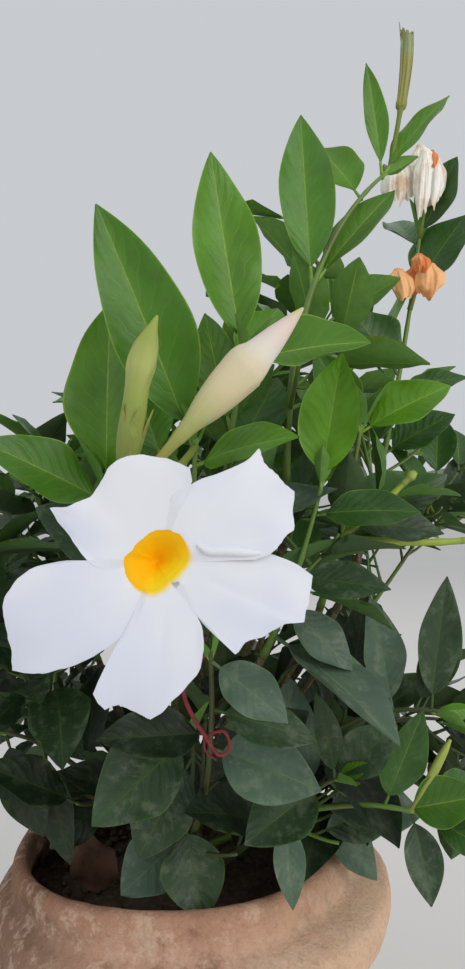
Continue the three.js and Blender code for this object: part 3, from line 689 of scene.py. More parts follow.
def add_tube(sheaf, rings, slot=0, tones=None, open_end=False):
    """Adds rings of points as a closed tube. Its place runs round it and along it, without a seam."""
    steps, sides = rings.shape[:2]
    along = np.linspace(0, 1, steps)
    if tones is None:
        tones = np.repeat(along[:, None], sides, axis=1)
    turns = even_turns(sides)
    places = np.stack([
        np.tile(np.cos(turns), steps), np.tile(np.sin(turns), steps), np.repeat(along, sides),
    ], axis=1)
    first = sheaf.count
    ends = np.array([rings[0].mean(0), rings[-1].mean(0)])
    sheaf.add_points(
        np.concatenate([rings.reshape(-1, 3), ends]),
        np.concatenate([tones.ravel(), [tones[0].mean(), tones[-1].mean()]]),
        np.concatenate([places, [(0, 0, 0), (0, 0, 1)]]),
    )
    sheaf.add_faces(grid_faces(steps, sides, wrap=True) + first, slot)
    last_ring = first + (steps - 1) * sides + np.arange(sides)
    sheaf.add_faces(fan_faces(first + steps * sides, first + np.arange(sides), outward=False), slot)
    if not open_end:
        sheaf.add_faces(fan_faces(first + steps * sides + 1, last_ring), slot)


def add_shell(sheaf, middle, facing, thick, slot=0, tones=0.0, places=0.0):
    """Adds a grid of points as a thin shell that runs out to nothing where thick is 0."""
    rows, columns = middle.shape[:2]
    faces = grid_faces(rows, columns)
    shift = facing * thick[..., None] / 2
    sheaf.add((middle + shift).reshape(-1, 3), faces, slot, tones, places)
    sheaf.add((middle - shift).reshape(-1, 3), faces[:, ::-1], slot, tones, places)


def stem_rings(curve, foot, tip, sides, node_gap=NODE_SPACING):
    """Rings of a slender stem, a little swollen at its nodes."""
    shares = np.linspace(0, 1, max(6, round(curve.length / 4)))
    past_node = (shares * curve.length + node_gap / 2) % node_gap - node_gap / 2
    swell = 1 + 0.16 * np.exp(-((past_node / 2.2) ** 2))
    return rings_round(curve, shares, even_turns(sides), (foot + (tip - foot) * shares) * swell)


# Materials
class Finish:
    """A material in the making: one principled shader and the nodes that feed it."""

    def __init__(self, name, roughness=0.5, sheen=0.5):
        clear(bpy.data.materials, name)
        self.material = bpy.data.materials.new(name)
        self.material.use_nodes = True
        self.nodes = self.material.node_tree.nodes
        self.shader = self.nodes["Principled BSDF"]
        self.set("Roughness", roughness)
        self.set("Specular IOR Level", sheen)

    def feed(self, node, socket, value):
        """Links an output to a node's socket, or sets the socket to a fixed value."""
        if isinstance(value, bpy.types.NodeSocket):
            self.material.node_tree.links.new(value, node.inputs[socket])
        elif value is not None:
            node.inputs[socket].default_value = value

    def set(self, socket, value):
        self.feed(self.shader, socket, value)

    def let_through(self, share, depth, by_colour=None):
        """Lets a share of the light into the surface, to a depth in metres."""
        self.set("Subsurface Weight", share)
        self.set("Subsurface Scale", depth)
        self.set("Subsurface Radius", by_colour)

    def node(self, kind, output, inputs, **fields):
        """The wanted output of a new node, with its fields and inputs set."""
        node = self.nodes.new(kind)
        for name, value in fields.items():
            setattr(node, name, value)
        for socket, value in inputs.items():
            self.feed(node, socket, value)
        return node.outputs[output]

    def tone(self):
        return self.node("ShaderNodeAttribute", "Fac", {}, attribute_name="tone")

    def place(self):
        return self.node("ShaderNodeAttribute", "Vector", {}, attribute_name="place")

    def position(self):
        return self.node("ShaderNodeTexCoord", "Object", {})

    def split(self, vector):
        """The three parts of a vector, such as across, along and the chance number of a leaf's place."""
        node = self.nodes.new("ShaderNodeSeparateXYZ")
        self.feed(node, 0, vector)
        return node.outputs

    def stretched(self, vector, scale):
        return self.node("ShaderNodeMapping", "Vector", {"Vector": vector, "Scale": scale})

    def noise(self, vector, scale, detail, roughness):
        inputs = {"Vector": vector, "Scale": scale, "Detail": detail, "Roughness": roughness}
        return self.node("ShaderNodeTexNoise", "Fac", inputs)

    def maths(self, operation, *values):
        return self.node("ShaderNodeMath", "Value", dict(enumerate(values)), operation=operation)

    def spread(self, value, low, high, to_low=0.0, to_high=1.0):
        """Maps value from low..high to another range, eased at both ends, and holds it there."""
        inputs = {"Value": value, "From Min": low, "From Max": high, "To Min": to_low, "To Max": to_high}
        return self.node("ShaderNodeMapRange", "Result", inputs, interpolation_type="SMOOTHSTEP")

    def ramp(self, share, *stops):
        """A run of colours: each stop is its place from 0 to 1 and its colour."""
        node = self.nodes.new("ShaderNodeValToRGB")
        self.feed(node, "Fac", share)
        marks = node.color_ramp.elements
        for place, _ in stops[1:-1]:
            marks.new(place)
        for mark, (place, colour) in zip(marks, stops):
            mark.position = place
            mark.color = (*colour, 1)
        return node.outputs["Color"]

    def mix(self, share, first, second):
        """One colour over another; 6, 7 and 2 are the colour sockets of the mix node."""
        inputs = {"Factor": share}
        for socket, colour in ((6, first), (7, second)):
            inputs[socket] = (*colour, 1) if isinstance(colour, (tuple, list)) else colour
        return self.node("ShaderNodeMix", 2, inputs, data_type="RGBA")

    def bump(self, height, strength, depth, under=None):
        """Fine relief: depth in millimetres, laid over another relief if one is given."""
        inputs = {"Strength": strength, "Distance": depth * MM, "Height": height, "Normal": under}
        return self.node("ShaderNodeBump", "Normal", inputs)


def shade(colour, factor):
    """A colour made darker or paler."""
    return tuple(min(1, max(0, value * factor)) for value in colour)


def blended(first, second, share):
    return tuple(a + (b - a) * share for a, b in zip(first, second))


def clay_material(settings):
    """Rough fired earthenware, blotched and grainy, browner on the left with stains and painted shade, and
    paler on the right with painted sunlight.
    """
    clay = Finish("earthenware", 0.92, 0.2)
    place = clay.position()
    across, _, height = clay.split(place)
    body = clay.ramp(
        clay.noise(place, 24, 8, 0.7),
        (0.36, shade(settings.clay, 0.58)), (0.46, settings.clay[:]), (0.54, shade(settings.clay, 1.12)),
        (0.64, settings.weathering[:]),
    )
    stain = clay.spread(clay.noise(place, 40, 7, 0.75), 0.52, 0.64, 0, 0.6)
    body = clay.mix(stain, body, shade(settings.stains_and_shade, 1.1))
    # A wavering line across the pot that parts its painted shade on the left from its painted sunlight on the
    # right
    painted_light_across = clay.maths("MULTIPLY_ADD", clay.noise(place, 22, 5, 0.6), -0.09, across)
    # Stains and painted shade: browner and darker towards the left, partly brown stains and partly painted
    # shade from the foliage above
    body = clay.mix(clay.spread(painted_light_across, -0.055, -0.14, 0, 0.75), body, settings.stains_and_shade[:])
    # Painted sunlight: the clay is painted paler towards the right, where the light falls
    body = clay.mix(clay.spread(painted_light_across, -0.02, 0.04, 0, 0.7), body, settings.painted_sunlight[:])
    body = clay.mix(clay.spread(height, 0.17, 0.19, 0, 0.45), body, settings.rim[:])
    pale = clay.spread(clay.noise(place, 110, 6, 0.75), 0.5, 0.64, 0, 0.5)
    body = clay.mix(pale, body, shade(settings.weathering, 1.12))
    grain = clay.noise(place, 420, 5, 0.75)
    body = clay.mix(clay.spread(grain, 0.45, 0.66, 0, 0.2), body, shade(settings.stains_and_shade, 0.9))
    clay.set("Base Color", body)
    relief = clay.bump(clay.noise(place, 70, 7, 0.75), 1.0, 3.0)
    clay.set("Normal", clay.bump(grain, 0.7, -0.7, relief))
    return clay.material


def soil_material(settings):
    """Damp dark compost with paler fibres."""
    soil = Finish("soil", 0.95)
    place = soil.position()
    compost = settings.compost[:]
    body = soil.ramp(
        soil.noise(place, 260, 6, 0.7),
        (0.3, shade(compost, 0.4)), (0.55, compost), (0.75, shade(compost, 2.4)),
    )
    soil.set("Base Color", body)
    soil.set("Normal", soil.bump(soil.noise(place, 520, 6, 0.75), 0.9, 1.2))
    return soil.material


def bark_material(name, colour, ridge, green):
    """Bark with long cracks and paler ridges, greener where green is above 0."""
    bark = Finish(name, 0.85)
    place = bark.stretched(bark.position(), (1, 1, 0.28))
    cracks = bark.noise(place, 640, 5, 0.7)
    body = bark.ramp(cracks, (0.32, shade(colour, 0.35)), (0.5, colour[:]), (0.68, ridge[:]))
    moss = bark.spread(bark.noise(bark.position(), 90, 4, 0.6), 0.42, 0.62, 0, green)
    bark.set("Base Color", bark.mix(moss, body, screen(92, 98, 50)))
    bark.set("Normal", bark.bump(cracks, 0.85, 0.7))
    return bark.material


def stem_material(name, colour, blush):
    """Smooth green young stem with a reddish cast in places."""
    stem = Finish(name, 0.45)
    place = stem.position()
    cast = stem.spread(stem.noise(place, 70, 3, 0.5), 0.45, 0.7, 0, 0.6)
    body = stem.mix(cast, colour[:], blush[:])
    stem.set("Base Color", body)
    stem.set("Normal", stem.bump(stem.noise(stem.stretched(place, (1, 1, 0.2)), 1500, 2, 0.5), 0.25, 0.15))
    return stem.material


def side_veins(blade, position, reach, along):
    """Waves along a leaf that slant towards its tip, and the thin vein on the crest of each."""
    drift = blade.maths("MULTIPLY", along, 10)
    drift = blade.maths("MULTIPLY_ADD", blade.noise(position, 90, 2, 0.5), 1.6, drift)
    phase = blade.maths("SUBTRACT", drift, blade.maths("MULTIPLY", reach, 2.4))
    crest = blade.maths("COSINE", blade.maths("MULTIPLY", phase, TURN))
    return crest, blade.maths("MULTIPLY", blade.spread(crest, 0.84, 1.0), blade.spread(reach, 0.95, 0.4))


def blade_material(name, colour, rib, dust, gloss, dusty):
    """A leaf's upper face. Old leaves are dusty and less glossy."""
    blade = Finish(name, sheen=0.28 + 0.14 * gloss)
    across, along, chance = blade.split(blade.place())
    position = blade.position()
    reach = blade.maths("ABSOLUTE", across)
    crest, vein = side_veins(blade, position, reach, along)
    body = blade.ramp(
        blade.noise(position, 48, 4, 0.6),
        (0.3, shade(colour, 0.74)), (0.5, colour[:]), (0.72, shade(colour, 1.2)),
    )
    body = blade.mix(blade.spread(chance, 0, 1, 0, 0.5), body, shade(colour, 0.6))
    body = blade.mix(blade.spread(blade.noise(position, 150, 6, 0.7), 0.47, 0.68, 0, dusty), body, dust[:])
    body = blade.mix(blade.spread(reach, 0.35, 0.0, 0, 0.16), body, rib[:])
    body = blade.mix(blade.maths("MULTIPLY", vein, 0.15), body, rib[:])
    blade.set("Base Color", body)
    flecks = blade.noise(position, 1100, 3, 0.6)
    blade.set("Roughness", blade.spread(flecks, 0.3, 0.7, 0.52 - 0.16 * gloss, 0.64 - 0.16 * gloss))
    relief = blade.bump(blade.maths("SUBTRACT", crest, vein), 0.24, 0.24)
    blade.set("Normal", blade.bump(flecks, 0.12, 0.08, relief))
    blade.let_through(0.1, 0.0015, (0.6, 1.0, 0.2))
    return blade.material


def grained_material(name, colour, roughness, grain, relief, sheen):
    """One green with a fine grain, for a leaf's ribs or its underside."""
    green = Finish(name, roughness, sheen)
    streaks = green.noise(green.position(), *grain)
    green.set("Base Color", green.ramp(streaks, (0.3, shade(colour, 0.85)), (0.7, shade(colour, 1.12))))
    green.set("Normal", green.bump(streaks, relief, relief))
    return green.material


def petal_material(settings):
    """White petals, a little cooler in places, round a golden throat whose edge is crisp on one side, and
    whose gold is deeper orange on its upper wall, partly as painted shade.
    """
    petal = Finish("petal", 0.6, 0.2)
    throat_lit_side = petal.split(petal.place())[2]
    position = petal.position()
    outside = petal.maths("MULTIPLY_ADD", petal.noise(position, 500, 3, 0.6), 0.12, petal.tone())
    outside = petal.maths("SUBTRACT", outside, 1.06)
    softness = petal.maths("MULTIPLY_ADD", petal.maths("MAXIMUM", throat_lit_side, 0.0), 0.34, 0.04)
    white = petal.spread(petal.maths("DIVIDE", outside, softness), 0, 1)
    # Painted shade: the gold runs deeper orange towards the throat's upper wall
    lower = petal.maths("MULTIPLY", throat_lit_side, 0.5)
    lower = petal.maths("MULTIPLY_ADD", petal.noise(position, 330, 3, 0.6), 0.5, lower)
    throat = settings.throat[:]
    gold = petal.ramp(lower, (0.0, throat), (0.35, throat), (0.62, settings.throat_edge[:]))
    cool = petal.spread(petal.noise(position, 30, 2, 0.5), 0.38, 0.62)
    body = petal.mix(cool, settings.petal[:], settings.petal_shade[:])
    petal.set("Base Color", petal.mix(white, gold, body))
    creases = petal.noise(position, 120, 3, 0.55)
    petal.set("Normal", petal.bump(creases, 0.16, 0.4))
    petal.let_through(0.1, 0.0008, (1.0, 0.9, 0.7))
    return petal.material


def bud_material(name, streak, *stops, streaky=0.3):
    """A bud whose colours run from its foot to its tip, with silky streaks along it."""
    bud = Finish(name, 0.55, 0.3)
    position = bud.position()
    shifted = bud.maths("SUBTRACT", bud.tone(), 0.06)
    shifted = bud.maths("MULTIPLY_ADD", bud.noise(position, 150, 3, 0.5), 0.12, shifted)
    body = bud.ramp(shifted, *stops)
    streaks = bud.noise(bud.stretched(bud.place(), (5, 5, 1.2)), 1.0, 3, 0.55)
    bud.set("Base Color", bud.mix(bud.spread(streaks, 0.45, 0.7, 0, streaky), body, streak[:]))
    bud.set("Normal", bud.bump(streaks, 0.3, 0.3))
    bud.let_through(0.15, 0.002)
    return bud.material


def dry_material(name, colour, edge, grain=150):
    """A withered petal, bud or leaf: papery, creased and uneven in colour."""
    dry = Finish(name, 0.8)
    position = dry.position()
    patches = dry.noise(position, grain, 5, 0.65)
    dry.set("Base Color", dry.ramp(patches, (0.34, edge[:]), (0.5, colour[:]), (0.7, shade(colour, 1.15))))
    dry.set("Normal", dry.bump(dry.noise(position, 420, 4, 0.7), 0.5, 0.5))
    return dry.material


# The plant's growth, by the source's rule
@dataclass
class Leaf:
    """A leaf before it is meshed: where it is rooted, how it lies, and sizes in millimetres."""

    foot: np.ndarray
    along: np.ndarray
    face: np.ndarray
    length: float
    half_width: float
    fold: float
    arch: float
    grade: str = "seeded"
    tint: str = "deep"
    twist: float = 0.0
    wave: float = 0.0
    phase: float = 0.0
    bow: float = 0.0
    chance: float = 0.0


@dataclass
class Mass:
    """One foliage mass: its entry in SHOOTS, its bough and shoot, and what has grown on it."""

    shoot: dict
    bough: Bezier
    stem: Bezier
    twigs: list = field(default_factory=list)
    fine_twigs: list = field(default_factory=list)
    leaves: list = field(default_factory=list)

    @property
    def node(self):
        return f"mass_{self.shoot['name']}"


def curves_of(shoot):
    """Bough and shoot curves of one entry of SHOOTS."""
    tier, azimuth = shoot["root"]
    radius, height, rise = TIERS[tier]
    root_ahead = bearing(azimuth, rise)
    root = bearing(azimuth, 0) * radius + UP * height - root_ahead * ROOT_DEPTH
    tip = np.array(shoot["tip"], float)
    bend = np.array(shoot["bend"], float)
    if "bough" not in shoot:
        second = root + root_ahead * np.linalg.norm(tip - root) * 0.3
        return None, Bezier(root, second, bend, tip)
    end = np.array(shoot["bough"], float)
    ahead = unit(bend - end)
    reach = np.linalg.norm(end - root)
    bough = Bezier(root, root + root_ahead * reach * 0.38, end - ahead * reach * 0.33, end)
    return bough, Bezier(end + ahead * BUILD_GAP, bend, tip)


def blade_share(share):
    """Half width of a leaf along its length, as a share of its widest half width."""
    along = np.maximum(0, (share - PETIOLE_SHARE) / (1 - PETIOLE_SHARE))
    return np.sin(np.pi * along**0.86) ** 0.85


def leaf_from(foot, along, stem_ahead, length, width, fold, arch, skyward):
    """A leaf along a direction, its upper face towards the shoot's growing end."""
    face = square_to(stem_ahead, along) + square_to(UP, along) * skyward
    return Leaf(foot, along, square_to(face, along), length, width / 2, fold, arch)


def shown_leaves(shoot, curve):
    """The leaves that SHOOTS gives one by one."""
    leaves = []
    for share, azimuth, elevation, length, width, *own_tint in shoot.get("leaves", ()):
        along = bearing(azimuth, elevation)
        fold, arch = UPRIGHT if elevation > UPRIGHT_ELEVATION else SPREADING
        leaf = leaf_from(curve.node(share), along, curve.tangent(share), length, width, fold, arch, 0.8)
        leaf.face = square_to(leaf.face * 0.25 + square_to(LIGHT, along), along)
        leaf.grade = "shown"
        leaf.tint = own_tint[0] if own_tint else shoot["tint"]
        leaves.append(leaf)
    return leaves


def pairs_along(curve, start, end, length, random):
    """Crossed pairs of leaves along a stem, larger and wider open towards its foot."""
    pairs = []
    count = max(2, round(curve.length * (end - start) / NODE_SPACING))
    first_turn = random() * math.pi
    for i in range(1, count + 1):
        share = start + (end - start) * i / count
        ahead = curve.tangent(share)
        spoke = curve.spoke(share, first_turn + i * math.pi / 2 + (random() - 0.5) * 0.5)
        opening = math.radians(WIDEST_ANGLE - ANGLE_CLOSING * share + 16 * (random() - 0.5))
        size = length * (1.08 - 0.34 * share) * (0.88 + 0.24 * random())
        for way in (1, -1):
            along = ahead * math.cos(opening) + spoke * way * math.sin(opening)
            along[2] -= 0.12 * (1 - share)
            fold = 0.2 + 0.14 * random()
            arch = 0.1 + 0.12 * random()
            foot = curve.node(share)
            pairs.append(leaf_from(foot, unit(along), ahead, size, size * LEAF_SLENDERNESS, fold, arch, 0.7))
    return pairs


def side_twigs(curve, start, end, count, length, random):
    """Side twigs at even steps along a stem, each turned by chance."""
    twigs = []
    for i in range(count):
        share = start + (end - start) * (i + 0.5) / count
        spoke = curve.spoke(share, random() * TURN)
        along = curve.tangent(share) * 0.6 + spoke * 0.8
        reach = length * (1 + random() / 2)
        foot = curve.node(share)
        twigs.append(Bezier(foot, foot + along * reach * 0.55, foot + along * reach + UP * 0.2 * reach))
    return twigs


def coarse_blade(leaf):
    """The few points that stand for a leaf."""
    return blade_points(leaf, COARSE_SHARES, COARSE_COLUMNS).reshape(-1, 3)


class Room:
    """What has grown so far. A leaf that would cross a kept leaf or the pot is turned away."""

    def __init__(self):
        self.faces = grid_faces(len(COARSE_SHARES), len(COARSE_COLUMNS)).tolist()
        self.lows = np.zeros((0, 3))
        self.highs = np.zeros((0, 3))
        self.trees = []
        pot = pot_grid(COARSE_POT_SIDES, 1)
        pot_faces = grid_faces(len(pot), COARSE_POT_SIDES, wrap=True)
        self.pot = BVHTree.FromPolygons(pot.reshape(-1, 3).tolist(), pot_faces.tolist())

    def admits(self, leaf, always=False):
        """True if the leaf has room, and then it is kept."""
        points = coarse_blade(leaf)
        low, high = points.min(0), points.max(0)
        tree = BVHTree.FromPolygons(points.tolist(), self.faces)
        near = np.nonzero(((self.lows < high) & (self.highs > low)).all(axis=1))[0]
        if not always:
            if tree.overlap(self.pot) or any(tree.overlap(self.trees[i]) for i in near):
                return False
        self.lows = np.vstack([self.lows, low])
        self.highs = np.vstack([self.highs, high])
        self.trees.append(tree)
        return True


def within_space(leaf, mass):
    """A seeded leaf stays near its shoot and clear of the photo's open sides, as in the source."""
    tip = leaf.foot + leaf.along * leaf.length
    along = mass.stem.point(np.array([0.2, 0.4, 0.6, 0.8, 1]))
    lowest = LOWEST_FRONT_TIP if "leaves" in mass.shoot else LOWEST_TIP
    outside = max(0, -MOUTH_RADIUS - tip[1])
    near = np.linalg.norm(along - tip, axis=1).min() < SEEDED_REACH
    return near and tip[1] > FRONT_LIMIT and tip[2] > lowest + outside


def in_photo(points):
    """Where points of the plant fall in the photograph, in its pixels."""
    right, away, up = np.moveaxis(points - np.array(CAMERA_PLACE), -1, 0)
    return np.stack([
        PHOTO_WIDTH / 2 + right / away * FOCAL_PIXELS, PHOTO_HEIGHT / 2 - up / away * FOCAL_PIXELS,
    ], axis=-1)


def covers_gap(leaf):
    """True if any part of the leaf would stand in the photograph's open gap."""
    across, down = in_photo(blade_points(leaf, GAP_SHARES, GAP_COLUMNS)).reshape(-1, 2).T
    crossings = np.zeros(len(across), int)
    for (left, top), (right, bottom) in zip(PHOTO_GAP, PHOTO_GAP[1:] + PHOTO_GAP[:1]):
        if top != bottom:
            between = (down < top) != (down < bottom)
            crossings += between & (across < left + (down - top) * (right - left) / (bottom - top))
    return (crossings % 2 == 1).any()


def within_node(leaf, mass):
    """A fine leaf also keeps inside the box of its mass's node."""
    low, high = (np.array(corner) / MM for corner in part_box(mass.node))
    points = coarse_blade(leaf)
    inside = (points > low - NODE_MARGIN).all() and (points < high + NODE_MARGIN).all()
    return inside and within_space(leaf, mass)


def individual(leaf, random):
    """Gives a leaf its own twist, wave and bow."""
    leaf.twist = 0.5 * (random() - 0.5)
    leaf.wave = 0.05 + 0.1 * random()
    leaf.phase = TURN * random()
    leaf.bow = 0.1 * (random() - 0.5)
    leaf.chance = random()
    return leaf


def spray_tint(mass, height, random):
    """The tint of one spray, partly for its leaves' age and partly as painted light: paler high up where the
    light falls, darker low down as painted shade, and darker still on masses with a dark tint.
    """
    # Painted shade and light: the tint follows the height between the shaded and the sunlit height, with some
    # chance
    freshness_and_light = smoothstep(height, SHADED_HEIGHT, SUNLIT_HEIGHT) * 0.75 + 0.36 * random()
    if mass.shoot.get("tint") in ("dark", "deep", "blue"):
        freshness_and_light -= 0.25
    tints = ("dark", "blue" if random() < 0.4 else "deep", "mid", "bright", "fresh")
    return tints[int(min(4, max(0, freshness_and_light * 5)))]


def add_seeded(mass, room, seed):
    """The source's seeded foliage: pairs on side twigs and along the stem, in front only low on it."""
    random = random_from(seed)
    own = random_from(seed + TINT_SEED)
    start = 0 if mass.bough else BARE_SHARE
    front = "leaves" in mass.shoot
    end = max(FILLED_SHARE, start + 0.25) if front else 1
    sprays = [pairs_along(mass.stem, start, end, LEAF_LENGTH, random)]
    twigs = side_twigs(mass.stem, start, end, FRONT_TWIGS if front else OTHER_TWIGS, TWIG_LENGTH, random)
    for twig in twigs:
        sprays.append(pairs_along(twig, 0.1, 1, TWIG_LEAF_LENGTH, random))
    mass.twigs = twigs
    for spray in sprays:
        add_spray(mass, room, spray, own, within_space)


def add_fine(mass, room, seed):
    """Finer twigs within the same reach. Those in front only grow backwards."""
    random = random_from(seed)
    own = random_from(seed + TINT_SEED)
    front = "leaves" in mass.shoot
    end = 0.6 if front else 0.95
    for carrier in [mass.stem, *mass.twigs]:
        count = FINE_TWIGS + 1 if carrier is mass.stem else FINE_TWIGS
        for twig in side_twigs(carrier, 0.2, end, count, FINE_TWIG_LENGTH, random):
            pairs = pairs_along(twig, 0.1, 1, FINE_LEAF_LENGTH, random)
            if front and unit(twig.points[-1] - twig.points[0])[1] < 0.05:
                continue
            for leaf in pairs:
                leaf.grade = "fine"
            if add_spray(mass, room, pairs, own, within_node):
                mass.fine_twigs.append(twig)


def add_spray(mass, room, spray, own, fits):
    """Adds a spray's leaves that have room, all in one tint, and returns how many there are."""
    tint = spray_tint(mass, spray[0].foot[2], own)
    kept = 0
    for leaf in spray:
        individual(leaf, own)
        leaf.tint = tint
        if fits(leaf, mass) and not covers_gap(leaf) and room.admits(leaf):
            mass.leaves.append(leaf)
            kept += 1
    return kept


def tip_leaves(mass, random):
    """The small pair that wraps a shoot's growing point."""
    ahead = mass.stem.tangent(1)
    pair = []
    for way in (1, -1):
        spoke = mass.stem.spoke(1, random() * 0.6)
        along = unit(ahead * 0.92 + spoke * way * 0.38)
        size = TIP_LEAF_LENGTH * (0.8 + 0.4 * random())
        leaf = leaf_from(mass.stem.node(1), along, ahead, size, size * 0.36, 0.5, 0.02, 0.4)
        leaf.grade = "fine"
        leaf.tint = "fresh"
        pair.append(individual(leaf, random))
    return pair


@functools.cache
def grown_masses():
    """The whole plant, grown once and shared by the operators."""
    masses = [Mass(shoot, *curves_of(shoot)) for shoot in SHOOTS]
    room = Room()
    for i, mass in enumerate(masses):
        own = random_from(SHOWN_SEED + i)
        for leaf in shown_leaves(mass.shoot, mass.stem):
            room.admits(individual(leaf, own), always=True)
            mass.leaves.append(leaf)
    for i, mass in enumerate(masses):
        add_seeded(mass, room, FIRST_SEED + i)
    for i, mass in enumerate(masses):
        add_fine(mass, room, FINE_SEED + i)
        mass.leaves.extend(tip_leaves(mass, random_from(FINE_SEED + TINT_SEED + i)))
    return masses


# Leaf meshes: rows of each grade's blade, and its columns from the rib to the margin
GRADES = {
    "shown": (25, (0.022, 0.1, 0.3, 0.56, 0.8, 0.97, 1)),
    "seeded": (12, (0.03, 0.34, 0.7, 1)),
    "fine": (8, (0.035, 0.5, 1)),
}
UPPER, LOWER, RIB = range(3)


def blade_points(leaf, shares, columns):
    """Points on a leaf's middle surface, a row for each share and a column for each place across."""
    side = unit(np.cross(leaf.along, leaf.face))
    half = np.maximum(leaf.half_width * blade_share(shares), 0.3)[:, None]
    reach = np.abs(columns)[None, :]
    rows = shares[:, None]
    ruffle = np.sin(TURN * 2.2 * rows + leaf.phase + 1.4 * np.sign(columns)) * reach**3
    across = half * columns
    uneven = 1 + 0.45 * np.sin(3 * leaf.phase) * np.sign(columns)
    curled = 0.16 * smoothstep(reach * uneven, 0.85, 1.3)
    lift = half * (leaf.fold * uneven * reach**1.25 + leaf.wave * ruffle + curled)
    turn = leaf.twist * (rows - 0.3)
    sideways = across * np.cos(turn) - lift * np.sin(turn)
    upward = across * np.sin(turn) + lift * np.cos(turn) - leaf.length * leaf.arch * rows**2
    sideways = sideways + leaf.length * leaf.bow * rows * (1 - rows)
    onward = np.broadcast_to(leaf.length * rows, sideways.shape)
    return (
        leaf.foot
        + onward[..., None] * leaf.along
        + sideways[..., None] * side
        + upward[..., None] * leaf.face
    )


@functools.cache
def blade_layout(grade):
    """Rows, columns, faces and face slots of a blade's two sides. Rows are closer towards its ends."""
    count, half_columns = GRADES[grade]
    columns = np.array([*(-value for value in reversed(half_columns)), *half_columns])
    steps = np.linspace(0, 1, count)
    shares = PETIOLE_SHARE + (1 - PETIOLE_SHARE) * (steps + (1 - np.cos(np.pi * steps)) / 2) / 2
    strips = len(columns) - 1
    upper = grid_faces(count, len(columns))[:, ::-1]
    lower = grid_faces(count, len(columns)) + count * len(columns)
    strip_slots = np.full(strips, UPPER)
    strip_slots[[0, strips // 2, -1] if grade == "shown" else strips // 2] = RIB
    under_slots = np.full(strips, LOWER)
    under_slots[strips // 2] = RIB
    slots = np.concatenate([np.tile(strip_slots, count - 1), np.tile(under_slots, count - 1)])
    return shares, columns, np.concatenate([upper, lower]), slots


def add_leaf(sheaf, leaf, thickness):
    """Adds a leaf's blade and its stalk."""
    shares, columns, faces, slots = blade_layout(leaf.grade)
    middle = blade_points(leaf, shares, columns)
    reach = np.abs(columns)
    thick = thickness / MM / 2 * (1 - reach**4)[None, :, None]
    rib = np.where(reach < 0.1, 1.0, 0.0)[None, :, None] * (1 - shares)[:, None, None]
    upper = middle + leaf.face * (thick - RIB_GROOVE * rib)
    lower = middle - leaf.face * (thick + RIB_RIDGE * rib)
    along = np.repeat(shares, len(columns))
    place = np.stack([np.tile(columns, len(shares)), along, np.full(len(along), leaf.chance)], axis=1)
    sheaf.add(np.concatenate([upper, lower]), faces, slots, leaf.chance, np.concatenate([place, place]))
    add_petiole(sheaf, leaf)


def add_ribless(sheaf, leaf, thickness, power, slot=0):
    """Adds a sepal or a withered leaf, which thins out towards its margin by a power of the reach."""
    shares, columns, _, _ = blade_layout(leaf.grade)
    thick = thickness * (1 - np.tile(np.abs(columns), (len(shares), 1)) ** power)
    add_shell(sheaf, blade_points(leaf, shares, columns), leaf.face, thick, slot)


def add_petiole(sheaf, leaf):
    """The stalk of a leaf, from inside its twig to a little way under the blade."""
    spine = blade_points(leaf, np.array([-0.015, 0.05, 0.1, 0.17]), np.array([0.0]))[:, 0]
    radius = np.array([PETIOLE_RADIUS * 1.25, PETIOLE_RADIUS, PETIOLE_RADIUS * 0.9, 0.4])
    radius = radius * min(1.15, 0.55 + leaf.length / 120)
    spokes = spokes_round(even_turns(6), unit(np.cross(leaf.along, leaf.face)), -leaf.face)
    rings = spine[:, None] - leaf.face * 0.2 + spokes * radius[:, None, None]
    add_tube(sheaf, rings, RIB)


# The pot
def shoulder_share(height):
    rising = smoothstep(height, 0, SHOULDER_HEIGHT)
    falling = 1 - smoothstep(height, SHOULDER_HEIGHT, POT_HEIGHT - LIP_EASE)
    return np.where(height < SHOULDER_HEIGHT, rising, falling)


def leaned(points):
    """The hand-made shoulder stands further out and higher on one side, and the lip hangs on the other."""
    radius = np.maximum(np.hypot(points[..., 0], points[..., 1]), 1)
    across = points[..., 0] / radius
    share = shoulder_share(points[..., 2]) * (radius / SHOULDER_RADIUS) ** 4 * across
    drop = LIP_DROP * smoothstep(points[..., 2], SHOULDER_HEIGHT + LIP_EASE, POT_HEIGHT - LIP_EASE)
    scale = 1 + SHOULDER_LEAN * share / radius
    moved = points * np.stack([scale, scale, np.ones_like(scale)], axis=-1)
    moved[..., 2] += SHOULDER_TILT * share - drop * np.maximum(0, -across) ** 2
    return moved


# Outside from the foot to the lip and inside from the lip to the floor, as radius and height
POT_OUTSIDE = [
    (FOOT_RADIUS - 3, 0), (FOOT_RADIUS, 3), (FOOT_RADIUS + 12, 50), (FOOT_RADIUS + 22, 100),
    (FOOT_RADIUS + 26, 128), (FOOT_RADIUS + 31, 139), (SHOULDER_RADIUS - 1, 147), (SHOULDER_RADIUS, 156),
    (SHOULDER_RADIUS - 2, 164), (SHOULDER_RADIUS - 9, 170), (LIP_RADIUS + 1, 174),
    (LIP_RADIUS, POT_HEIGHT - 6), (LIP_RADIUS - 1.5, POT_HEIGHT - 1.5),
]
POT_INSIDE = [
    (MOUTH_RADIUS + 3, POT_HEIGHT), (MOUTH_RADIUS, POT_HEIGHT - 3), (MOUTH_RADIUS, 175),
    (SHOULDER_RADIUS - 15, 164), (SHOULDER_RADIUS - 11, 153), (FOOT_RADIUS + 18, 132),
    (FOOT_RADIUS + 13, 100), (FOOT_RADIUS + 3, 50), (FOOT_RADIUS - 9, FLOOR_THICKNESS),
]


def turned(profile, sides):
    """A profile of radius and height turned into a grid of points, a row for each height."""
    return leaned(level_rings(profile[:, :1], even_turns(sides), profile[:, 1:]))


